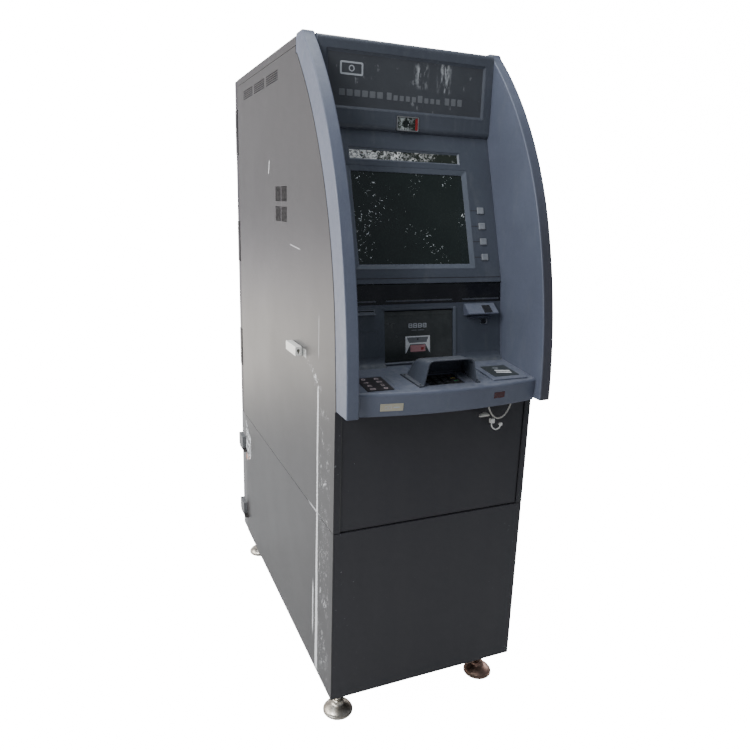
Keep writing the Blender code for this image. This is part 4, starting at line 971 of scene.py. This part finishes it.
def make_card():
    """Card throat: sloping visor, lower lip, slot with painted shade behind it, status window and a small
    square sensor.
    """
    profile = [(0.001, 0.144), (-0.003, 0.144), (-0.0268, 0.1203), (-0.0275, 0.1188), (-0.0272, 0.1172),
               (-0.0255, 0.1162), (-0.006, 0.1142), (0.001, 0.1142)]
    visor = solid("card_throat_shown", profile, "X", 0.125, 0.213, LOW)
    jaw = [(0.001, 0.115), (-0.013, 0.115), (-0.015, 0.1115), (-0.006, 0.1065), (0.001, 0.1065)]
    boolean(visor, solid("jaw", jaw, "X", 0.14, 0.199, LOW), "UNION")
    cut(visor, box("slot", (0.1435, -0.03, 0.1118), (0.1955, -0.002, 0.1134), LOW))
    place(visor, "fascia", 0.0009, 3, "card_throat")
    start = Vector((-0.002, 0.144))
    slope = Vector((-0.0255, -0.0245)).normalized()
    proud = Vector((slope.y, -slope.x)) * 0.0006
    a, b = start + slope * 0.0075, start + slope * 0.0345
    mark("card_status_window", [tuple(p) for p in (a, b, b + proud, a + proud)], "X", 0.172, 0.1965, "band",
         LOW, 0.0002, 1)
    # near-black plate behind the card slot: painted shade
    mark("card_slot_shade", rectangle(0.1437, 0.1953, 0.1119, 0.1133), "Y", -0.004, -0.0025, "void", LOW)
    mark("square_sensor_rim", round_rect(0.174, 0.1945, 0.0895, 0.1045, 0.001), "Y", -0.0022, 0.001,
         "bezel", LOW, 0.0004, hole=round_rect(0.1755, 0.19, 0.0907, 0.1035, 0.0006))
    mark("square_sensor_pane", round_rect(0.1753, 0.1902, 0.0905, 0.1037, 0.0006), "Y", -0.0012, 0.001,
         "band", LOW)
    mark("square_sensor_glint", round_rect(0.191, 0.194, 0.091, 0.103, 0.0008), "Y", -0.0026, -0.0018,
         "print_grey", LOW)
    remade("card_reader", "inner", 0.001)
    remade("cash_pocket", "inner", 0.0006)


make_lower()
make_cover()
make_card()


# ---------------- shelf with its pads, hood and keypad
BOW = 0.0205                      # how far the shelf's front bows out in the middle


def shelf_outline(margin, steps=40):
    side, back = INNER - margin, 0.1695 - margin
    bow = [(side * (1 - 2 * i / steps), 0.008 - BOW * (1 - (1 - 2 * i / steps) ** 2) + margin)
           for i in range(steps + 1)]
    return [(-side, back)] + bow[::-1] + [(side, back)]


def make_shelf():
    bm = bmesh.new()
    add_prism(bm, shelf_outline(0.0), "Z", -0.056, 0.0)
    bmesh.ops.recalc_face_normals(bm, faces=bm.faces)
    for level, offset, segments in ((0.0, 0.0075, 6), (-0.056, 0.003, 3)):
        front = [e for e in bm.edges if all(abs(v.co.z - level) < 1e-6 and v.co.y < 0.02 for v in e.verts)]
        bmesh.ops.bevel(bm, geom=front, offset=offset, segments=segments, profile=0.5, affect="EDGES")
    shelf = make_object("shelf_shown", bm, SHF)
    cut(shelf, solid("hollow", shelf_outline(0.004), "Z", -0.066, -0.004, SHF),
        box("well", (-0.047, 0.0215, -0.02), (0.049, 0.0925, 0.01), SHF),
        solid("recess", round_rect(-0.2075, -0.129, 0.0125, 0.104, 0.002), "Z", -0.0007, 0.01, SHF))
    soften(shelf, 0.0004, 2, 50.0)
    place(shelf, "fascia", node="shelf")
    mark("icon_pad_shown", round_rect(-0.2045, -0.1405, 0.0165, 0.0965, 0.002), "Z", -0.0004, 0.0012,
         "print_dark", SHF, 0.0004, node="icon_pad")


def make_icons():
    """Eight plain pictograms in two columns on the left pad."""
    def plate(x, low, high, radius):
        return round_rect(-x, x, low, high, radius)

    note = (plate(8.5, -5.2, 5.2, 1.5), plate(6.0, -2.8, 1.2, 0.6))
    ring = (circle(0, 0, 6.6, 28), circle(0, 0, 3.4, 24))
    tray = ([(-8.0, -5.5), (8.0, -5.5), (4.5, 5.8), (-4.5, 5.8)], plate(3.0, -3.5, 1.5, 0.6))
    card = (plate(4.8, -7.5, 7.5, 1.8), plate(3.0, -4.0, 5.5, 0.6))
    arrow = ([(-8.5, -2), (1, -2), (1, -6), (8.5, 0), (1, 6), (1, 2), (-8.5, 2)], None)
    shrink = 0.78 * 0.001
    for i, shapes in enumerate((note, ring, tray, card, arrow, note, ring, tray)):
        cx, cy = -0.1885 + i % 2 * 0.0315, 0.027 + i // 2 * 0.0195
        shape, hole = (points and [(cx + x * shrink, cy + y * shrink) for x, y in points]
                       for points in shapes)
        mark(f"pad_icon_{i}", shape, "Z", 0.0011, 0.0014, "print_pale", SHF, hole=hole)
        mark(f"pad_tint_{i}", round_rect(cx - 0.011, cx + 0.011, cy - 0.0088, cy + 0.0088, 0.003), "Z",
             0.001, 0.00125, "print_dark", SHF)


def make_reader():
    """Contactless reader: base, label, and a plain card with waves above it."""
    mark("reader_base", round_rect(0.118, 0.218, 0.016, 0.112, 0.006), "Z", 0.0002, 0.0032, "fascia", SHF,
         0.0012, 3)
    mark("reader_label", round_rect(0.133, 0.203, 0.033, 0.103, 0.002), "Z", 0.003, 0.0042, "label", SHF,
         0.0003, node="contactless_reader")
    mark("reader_card", [(0.152, 0.056), (0.1905, 0.048), (0.1945, 0.066), (0.156, 0.074)], "Z", 0.0041,
         0.0044, "print_white", SHF)
    mark("reader_stripe", [(0.1533, 0.062), (0.1918, 0.054), (0.1926, 0.058), (0.1541, 0.066)], "Z", 0.0043,
         0.0046, "print_dark", SHF)
    for i in range(3):
        r = 0.006 + i * 0.0042
        arc = []
        for radius, order in ((r, range(11)), (r - 0.0014, range(10, -1, -1))):
            for k in order:
                a = math.radians(50 + 80 * k / 10)
                arc.append((0.166 + radius * math.cos(a), 0.076 + radius * math.sin(a)))
        mark(f"reader_wave_{i}", arc, "Z", 0.0041, 0.0044, "print_light", SHF)


HOOD_X = 0.002


def hood_section(y, base_half, top_half, height, radius, steps=7):
    """Arch across the keypad: two legs and a top with rounded corners, from left foot to right foot."""
    lean = (base_half - top_half) / height
    points = [(HOOD_X - base_half, y, 0.0)]
    for side in (-1, 1):
        for i in range(steps + 1):
            t = i / steps if side > 0 else 1 - i / steps
            a = math.radians(90 - side * 90 * t)
            x = HOOD_X + side * (top_half - radius + lean * radius * t * 0.6) + radius * math.cos(a)
            points.append((x, y, height - radius + radius * math.sin(a)))
    return points + [(HOOD_X + base_half, y, 0.0)]


def make_hood():
    """Stations of the hood: y, half widths at the foot and the top, height, corner radius, forward lean."""
    stations = [(0.016, 0.0705, 0.06, 0.0592, 0.0135, 0.005), (0.02, 0.0707, 0.06, 0.06, 0.014, 0.003),
                (0.028, 0.0714, 0.0596, 0.0582, 0.014, 0.0008), (0.04, 0.0724, 0.0592, 0.0552, 0.014, 0.0),
                (0.052, 0.0735, 0.0604, 0.0528, 0.014, 0.0), (0.064, 0.0746, 0.0615, 0.0502, 0.014, 0.0),
                (0.074, 0.0755, 0.0624, 0.048, 0.014, 0.0), (0.081, 0.0762, 0.063, 0.0458, 0.013, 0.0),
                (0.086, 0.0768, 0.0638, 0.0425, 0.012, 0.0), (0.09, 0.0772, 0.065, 0.0365, 0.01, 0.0),
                (0.093, 0.0776, 0.067, 0.025, 0.008, 0.0), (0.095, 0.078, 0.073, 0.006, 0.002, 0.0)]
    bm = bmesh.new()
    rows = []
    for y, base, top, height, radius, lean in stations:
        section = hood_section(y, base, top, height, radius)
        rows.append([bm.verts.new((px, py + lean * (pz / height), pz + 0.0004)) for px, py, pz in section])
    bridge(bm, rows, False)
    end = rows[-1]
    for i in range(len(end) // 2 - 1):
        bm.faces.new((end[i], end[i + 1], end[-2 - i], end[-1 - i]))
    bmesh.ops.recalc_face_normals(bm, faces=bm.faces)
    if sum(f.normal.z for f in bm.faces) < 0:
        bmesh.ops.reverse_faces(bm, faces=bm.faces)
    hood = modified(make_object("pin_hood_shown", bm, SHF), "SOLIDIFY", thickness=0.0028, offset=-1.0)
    soften(hood, 0.0007, 2, 50.0)
    place(hood, "hood", node="pin_hood")
    gap = [(-0.0685, 0.01), (0.0685, 0.01), (0.075, 0.092), (-0.075, 0.092)]
    # the second plate is near-black and a little larger than the flange, under it: a painted shadow line
    # round the flange's edge
    for name, outline, low, high, material, edge in (
            ("hood_flange", [(-0.08, 0.015), (0.078, 0.015), (0.086, 0.101), (-0.0895, 0.101)],
             0.0004, 0.0034, "hood", 0.0008),
            ("hood_flange_shadow", [(-0.0812, 0.014), (0.0792, 0.014), (0.0873, 0.1022), (-0.0908, 0.1022)],
             0.0002, 0.0012, "black", 0.0)):
        shape, hole = ([(HOOD_X + x, y) for x, y in points] for points in (outline, gap))
        mark(name, shape, "Z", low, high, material, SHF, edge, hole=hole)
    head = ((0.0024, 0.003), (0.0024, 0.004), (0.0019, 0.0046), (0.0008, 0.0047))
    for i, (x, y) in enumerate(((-0.0758, 0.0215), (0.0745, 0.0215), (-0.0838, 0.09), (0.0815, 0.09))):
        place(turned(f"hood_screw_{i}", (HOOD_X + x, y), head, 20, "Z", SHF), "black")


def make_digit(name, character, place_at):
    text = bpy.data.curves.new(name, "FONT")
    text.body, text.size, text.extrude = character, 0.0085, 0.0002
    text.align_x = text.align_y = "CENTER"
    holder = linked(name + "_holder", text)
    bpy.context.view_layer.update()
    mesh = bpy.data.meshes.new_from_object(holder.evaluated_get(bpy.context.evaluated_depsgraph_get()))
    bpy.data.objects.remove(holder, do_unlink=True)
    mesh.transform(SHF @ Matrix.Translation(place_at))
    place(linked(name, mesh), "print_grey", body="keypad_mat")


def make_keypad():
    """Steel keypad in its well: sixteen domed keys, ten of them with plain digits."""
    remade("keypad_body", "inner", 0.0004, 1)
    mat_top = -0.0068
    place(box("keypad_mat_shown", (-0.045, 0.0235, mat_top - 0.002), (0.047, 0.0905, mat_top), SHF),
          "black", 0.0004, 1, "keypad_keys", "keypad_mat")
    tints = {3: "print_red", 7: "print_yellow", 11: "print_green"}
    for index, digit in enumerate("123 456 789  0  "):
        x, y = 0.001 + (index % 4 - 1.5) * 0.0225, 0.057 + (1.5 - index // 4) * 0.0165
        rings = []
        for grow, z in ((0.0, -0.001), (0.0, 0.0022), (-0.0008, 0.003), (-0.0022, 0.0027)):
            wide, deep = 0.009 + grow, 0.006 + grow
            rings.append([(px, py, mat_top + z)
                          for px, py in round_rect(x - wide, x + wide, y - deep, y + deep, 0.0016, 3)])
        place(loft(f"pin_key_{index}", rings, SHF), "key_dark", body="keypad_mat")
        if digit != " ":
            make_digit(f"pin_digit_{index}", digit, (x, y, mat_top + 0.0028))
        elif index in tints:
            mark(f"pin_tint_{index}", round_rect(x - 0.0055, x + 0.0055, y - 0.0012, y + 0.0012, 0.0008),
                 "Z", mat_top + 0.0026, mat_top + 0.003, tints[index], SHF, body="keypad_mat")


def make_skirt_marks():
    """Beige plate with plain rings, and a dark red window, on the shelf's bowed front."""
    for name, x0, x1, z0, z1, out, thick, material, edge in (
            ("skirt_plate", -0.18, -0.1265, -0.042, -0.0245, 0.001, 0.0016, "beige", 0.0002),
            ("red_window", 0.1095, 0.14, -0.0345, -0.0195, 0.0006, 0.0012, "red_window", 0.0003)):
        mid, wide = (x0 + x1) / 2, (x1 - x0) / 2
        at = SHF @ Matrix.Translation((mid, 0.008 - BOW * (1 - (mid / INNER) ** 2), 0))
        at = at @ Matrix.Rotation(math.atan(2 * BOW * mid / INNER ** 2), 4, "Z")
        mark(name, round_rect(-wide, wide, z0, z1, 0.001), "Y", -out, thick - out, material, at, edge)
        if name == "skirt_plate":
            span = ("Y", -0.00125, -0.0008, "print_light", at)
            for i, cx in enumerate((-0.0125, -0.0045)):
                mark(f"skirt_plate_ring_{i}", circle(cx, -0.03325, 0.0045, 28), *span,
                     hole=circle(cx, -0.03325, 0.0034, 28))
            mark("skirt_plate_bar", round_rect(0.0035, 0.018, -0.0348, -0.0317, 0.001), *span)


make_shelf()
make_icons()
make_reader()
make_hood()
make_keypad()
make_skirt_marks()


# ---------------- small outer pieces
def make_cable_box():
    low, high = (-HALF - 0.019, F + 0.2517, 0.9222), (-HALF - 0.0003, F + 0.34, 0.9462)
    shell = soften(box("cable_box_shown", low, high), 0.0018, 3)
    x, z = (low[0] + high[0]) / 2, (low[2] + high[2]) / 2
    cut(shell, solid("hole", circle(x, z + 0.0015, 0.0045, 24), "Y", low[1] - 0.01, low[1] + 0.035),
        box("throat", (x - 0.0022, low[1] - 0.01, z - 0.007), (x + 0.0022, low[1] + 0.034, z)))
    place(shell, "white", 0.0003, 1, "cable_box")
    # near-black plate inside the cable box hole: painted shade
    mark("cable_box_hole_shade", round_rect(x - 0.0052, x + 0.0052, z - 0.0082, z + 0.0068, 0.001), "Y",
         low[1] + 0.02, low[1] + 0.022, "void")
    mark("box_shadow_mark", round_rect(F + 0.216, F + 0.25, 0.925, 0.9445, 0.001), "X", -HALF - 0.0004,
         -HALF + 0.0004, "zinc")


def make_sticker():
    """Torn remains of a pale sticker low on the left side, near the rear."""
    random.seed(11)
    left, right, low, high = F + 0.876, F + 0.956, 0.372, 0.526
    outline = [(left + (right - left) * i / 14, low + random.uniform(-0.004, 0.006) + 0.03 * (1 - i / 14))
               for i in range(15)]
    outline += [(right + random.uniform(-0.003, 0.001), low + (high - low) * i / 14) for i in range(1, 15)]
    outline += [(right - (right - left) * i / 11, high - 0.055 * i / 11 + random.uniform(-0.006, 0.004))
                for i in range(1, 12)]
    outline += [(left + random.uniform(-0.001, 0.012), high - 0.055 + (low + 0.03 - high + 0.055) * i / 9)
                for i in range(1, 9)]
    sheet = solid("torn_sticker", outline, "X", -HALF - 0.0003, -HALF + 0.0002)
    holes = bmesh.new()
    for _ in range(9):
        cy, cz = random.uniform(left + 0.012, right - 0.01), random.uniform(low + 0.03, high - 0.05)
        add_prism(holes, [(cy + random.uniform(0.003, 0.008) * math.cos(a),
                           cz + random.uniform(0.003, 0.01) * math.sin(a))
                          for a in (i * 2 * math.pi / 7 for i in range(7))], "X", -0.28, -0.25)
    cut(sheet, make_object("holes", holes))
    place(sheet, "sticker")


def make_lead():
    """Small loose connector and clip that hang below the cable loop."""
    route = [(0.14, 0.018, 0.796), (0.14, 0.0175, 0.788), (0.141, 0.017, 0.78), (0.145, 0.017, 0.7735),
             (0.153, 0.017, 0.769), (0.16, 0.017, 0.77), (0.165, 0.017, 0.774), (0.1665, 0.017, 0.78)]
    lead, _ = tube("loop_clip", [(x, F - ahead, z) for x, ahead, z in route], 0.0017, "white", 30, 3)
    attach(lead, "cabinet")
    mark("loop_plug", round_rect(0.1355, 0.146, 0.787, 0.7985, 0.0016), "Y", F - 0.0225, F - 0.0125,
         "white", edge=0.0008)
    mark("loop_plug_tip", round_rect(0.1625, 0.1705, 0.7775, 0.785, 0.0012), "Y", F - 0.0205, F - 0.014,
         "white", edge=0.0008)
    rings = []
    for t in (i / 8 for i in range(9)):
        r = 0.0022 + 0.005 * math.sin(math.pi * t) ** 0.7
        rings.append([(0.102 + 0.029 * t, F - 0.018 + r * math.cos(a),
                       0.808 + 0.004 * math.sin(3 * t) + r * 0.8 * math.sin(a))
                      for a in (k * math.pi / 9 for k in range(18))])
    place(loft("loop_splice", rings), "cable")


def make_feet():
    """Levelling feet: domed pad, threaded stem and lock nut."""
    profile = [(0.0362, 0.0), (0.0384, 0.0008), (0.0394, 0.0024), (0.0395, 0.006), (0.0388, 0.0078),
               (0.0372, 0.0086), (0.0372, 0.01), (0.035, 0.0132), (0.03, 0.0172), (0.0245, 0.0206),
               (0.0195, 0.0232), (0.0165, 0.0252), (0.015, 0.0274), (0.0142, 0.0296), (0.0142, 0.035),
               (0.013, 0.0362), (0.0082, 0.0366), (0.0079, 0.0372)]
    profile += [(0.0079 if i % 2 else 0.0071, 0.038 + i * 0.0017) for i in range(26)] + [(0.0075, 0.0835)]
    for depth, y in (("front", F + 0.053), ("rear", F + 0.9275)):
        for word, x in (("left", -0.225), ("right", 0.203)):
            node = f"foot_{depth}_{word}"
            metal = "rust" if node == "foot_front_right" else "chrome"
            place(turned(node + "_shown", (x, y), profile, 48, "Z"), metal, node=node)
            mark(node + "_nut", circle(x, y, 0.015, 6), "Z", 0.0735, 0.0834, metal, edge=0.0011)


make_cable_box()
make_sticker()
make_lead()
make_feet()


# ---------------- rear door and its latch
def behind(profile):
    """Profile of a turned piece that stands on the rear plane."""
    return [(radius, R + y) for radius, y in profile]


def make_rear():
    remade("rear_door", "cabinet", 0.001)
    x, z = 0.222, 1.12
    hub = ((0.0158, 0.0003), (0.0158, 0.008), (0.0148, 0.0096), (0.01, 0.01))
    latch = turned("door_latch_shown", (x, z), behind(hub), 36)
    rings = []
    for wide, up, out in ((0.0088, 0.012, 0.0), (0.0088, -0.02, 0.0006), (0.0078, -0.06, 0.0016),
                          (0.0074, -0.096, 0.002), (0.006, -0.1035, 0.002)):
        outline = round_rect(-wide, wide, -0.006, 0.0045, 0.003, 4)
        rings.append([(x + px, R + 0.013 + py + out, z + up) for px, py in outline])
    boolean(latch, loft("grip", rings), "UNION")
    place(latch, "black", 0.0006, node="door_latch", body="latch")
    barrel = ((0.011, 0.0001), (0.011, 0.0016), (0.0095, 0.0024), (0.004, 0.0024))
    lock = turned("door_lock", (x, 1.19), behind(barrel), 32)
    cut(lock, box("keyway", (0.2211, R - 0.01, 1.1845), (0.2229, R + 0.01, 1.1955)))
    place(lock, "brushed", body="rear_service_door")
    for i in range(14):
        z = 1.5 + i * 0.0085
        mark(f"door_louvre_{i}", [(R - 0.0002, z), (R + 0.0024, z + 0.0006), (R + 0.0006, z + 0.0052),
                                  (R - 0.0002, z + 0.0055)], "X", -0.09, 0.09, "cabinet", FLAT, 0.0003, 1,
             body="rear_service_door")


def make_safe():
    remade("safe_door", "safe", 0.0012)
    remade("safe_body", "safe", 0.0015)
    remade("safe_bolts", "chrome", 0.0008)
    x, z = 0.13, 0.3
    hub = ((0.019, 0.0003), (0.019, 0.006), (0.0165, 0.008), (0.0165, 0.0265), (0.014, 0.0295),
           (0.006, 0.0298))
    handle = turned("safe_handle_shown", (x, z), behind(hub), 40)
    spoke = ((0.005, 0.004), (0.0044, 0.04), (0.0048, 0.05), (0.0072, 0.054), (0.0085, 0.06),
             (0.0072, 0.0655), (0.003, 0.068))
    for degrees in (90, 210, 330):
        spin = Matrix.Translation((x, R, z)) @ Matrix.Rotation(-math.radians(degrees), 4, "Y")
        boolean(handle, turned("spoke", (0.0195, 0), spoke, 24, "X", spin), "UNION")
    place(handle, "chrome", node="safe_handle", body="handle")
    z = 0.42
    dial = ((0.036, 0.0003), (0.036, 0.004), (0.0335, 0.0085), (0.02, 0.0098), (0.017, 0.011),
            (0.0168, 0.026), (0.015, 0.0295), (0.006, 0.0298))
    place(turned("safe_dial_shown", (x, z), behind(dial), 100), "black", node="safe_dial", body="dial")
    for i in range(50):
        length = 0.0035 if i % 5 else 0.0065
        at = Matrix.Translation((x, R + 0.0069, z)) @ Matrix.Rotation(2 * math.pi * i / 50, 4, "Y")
        mark(f"dial_tick_{i}", rectangle(-0.0003, 0.0003, 0.0345 - length, 0.0345), "Y", -0.0022, 0.0022,
             "print_white", at, body="dial")


def make_modules():
    for i in (1, 2, 3):
        remade(f"note_cassette_{i}", "inner", 0.002, 3)
        low = 0.1108 + (i - 1) * 0.129
        mark(f"cassette_handle_{i}", round_rect(-0.055, 0.055, low + 0.062, low + 0.078, 0.004), "Y",
             R - 0.142, R - 0.1365, "brushed", edge=0.001)
        mark(f"cassette_label_{i}", round_rect(0.085, 0.16, low + 0.03, low + 0.062, 0.002), "Y",
             R - 0.1352, R - 0.1345, "print_light")
    remade("note_recycler", "inner", 0.002, 3)
    rear = R - 0.055
    for i in range(6):
        z = 0.62 + i * 0.045
        mark(f"recycler_rail_{i}", round_rect(-0.165, 0.165, z, z + 0.012, 0.003), "Y", rear - 0.0004,
             rear + 0.003, "zinc", edge=0.0006)
    knob = [(r, rear + y) for r, y in ((0.01, -0.001), (0.01, 0.006), (0.008, 0.008), (0.003, 0.008))]
    for i, x in enumerate((-0.15, 0.15)):
        place(turned(f"recycler_knob_{i}", (x, 0.895), knob, 32), "print_green")
    remade("equipment_tray", "zinc", 0.0008)
    remade("computer", "zinc", 0.0016)
    remade("power_supply", "black", 0.0016)
    for i in range(9):
        z = 1.2 + i * 0.028
        mark(f"computer_port_{i}", round_rect(-0.18, -0.15 if i % 2 else -0.136, z, z + 0.012, 0.001), "Y",
             0.39, 0.396, "black", FLAT, 0.0004, 1)
    for name, count, step, centre in (("fan_ring", 5, 0.0062, (-0.065, 1.36)),
                                      ("supply_fan", 4, 0.0075, (0.08, 1.225))):
        for i in range(count):
            mark(f"{name}_{i}", circle(*centre, 0.034 - i * step, 40), "Y", 0.3998, 0.4012, "chrome",
                 hole=circle(*centre, 0.0322 - i * step, 40))


make_rear()
make_safe()
make_modules()


# ---------------- stage and light
CURVE_START, CURVE_RADIUS = 3.2, 2.2     # where the floor turns up behind the machine
WHITE_OUT = 16.0                         # glow that shows as plain white to the camera
SKY, WHITE = (0.8, 0.87, 1.0), (1.0, 1.0, 1.0)


def make_stage():
    """Pale floor that curves up into a backdrop, plain white to the camera and glowing faintly far back."""
    bm = bmesh.new()
    profile = [(-7.0, 0.0), (CURVE_START, 0.0)]
    for i in range(1, 17):
        a = math.radians(90 * i / 16)
        profile.append((CURVE_START + CURVE_RADIUS * math.sin(a), CURVE_RADIUS * (1 - math.cos(a))))
    profile.append((CURVE_START + CURVE_RADIUS, 7.0))
    near, far = ([bm.verts.new((x, y, z - 0.0005)) for y, z in profile] for x in (-9.0, 11.0))
    for i in range(len(profile) - 1):
        bm.faces.new((near[i], far[i], far[i + 1], near[i + 1]))
    floor = make_object("floor", bm)
    for polygon in floor.data.polygons:
        polygon.use_smooth = True
    g = Graph("pale_floor")
    g.set("Base Color", g.mix(g.noise(1.5, 3, 0.5), (0.5, 0.5, 0.5), (0.54, 0.54, 0.535)))
    g.set("Roughness", 0.85)
    seen = g.node("LightPath").outputs["Is Camera Ray"]
    y, z = g.axis("Y"), g.axis("Z")
    glow = g.times(g.fit(y, 1.4, 3.8, 0, 1, True), g.fit(z, 0.05, 1.2, 1, 0.14, True),
                   g.fit(seen, 0, 1, 1.85, 0))
    tint = g.mix(g.fit(z, 0.2, 1.0), (1.0, 0.935, 0.84), (0.965, 0.885, 1.0))
    g.set("Emission Color", g.mix(seen, tint, WHITE))
    g.set("Emission Strength", g.math("ADD", glow, g.times(seen, WHITE_OUT)))
    floor.data.materials.append(g.material)


def area_light(name, position, target, width, height, power, colour):
    data = bpy.data.lights.new(name, "AREA")
    data.shape = "RECTANGLE"
    data.size, data.size_y, data.energy, data.color = width, height, power, colour
    light = linked(name, data)
    light.location = position
    light.rotation_euler = (Vector(target) - Vector(position)).to_track_quat("-Z", "Y").to_euler()


def make_light():
    world = bpy.data.worlds.new("studio")
    bpy.context.scene.world = world
    world.use_nodes = True
    nodes, links = world.node_tree.nodes, world.node_tree.links
    back = nodes["Background"]
    seen = nodes.new("ShaderNodeLightPath").outputs["Is Camera Ray"]
    strength = nodes.new("ShaderNodeMapRange")
    strength.inputs[3].default_value = 0.24
    strength.inputs[4].default_value = WHITE_OUT
    colour = nodes.new("ShaderNodeMix")
    colour.data_type = "RGBA"
    colour.inputs[6].default_value = (*SKY, 1.0)
    colour.inputs[7].default_value = (*WHITE, 1.0)
    for node, output, name in ((strength, 0, "Strength"), (colour, 2, "Color")):
        links.new(seen, node.inputs[0])
        links.new(node.outputs[output], back.inputs[name])
    area_light("left_wall", (-3.4, 1.0, 1.5), (0, 0.2, 0.95), 3.4, 2.6, 155, (1.0, 0.985, 0.96))
    area_light("top_sheet", (-0.5, 0.2, 4.2), (0, 0.1, 0.8), 3.0, 3.0, 110, (0.88, 0.93, 1.0))
    area_light("right_fill", (3.6, 1.4, 1.9), (0.2, 0.3, 0.9), 2.6, 2.6, 75, (0.95, 0.97, 1.0))
    area_light("front_left", (-3.1, -1.7, 3.0), (0.1, -0.4, 1.2), 1.8, 1.8, 122, (0.95, 0.97, 1.0))


make_stage()
make_light()

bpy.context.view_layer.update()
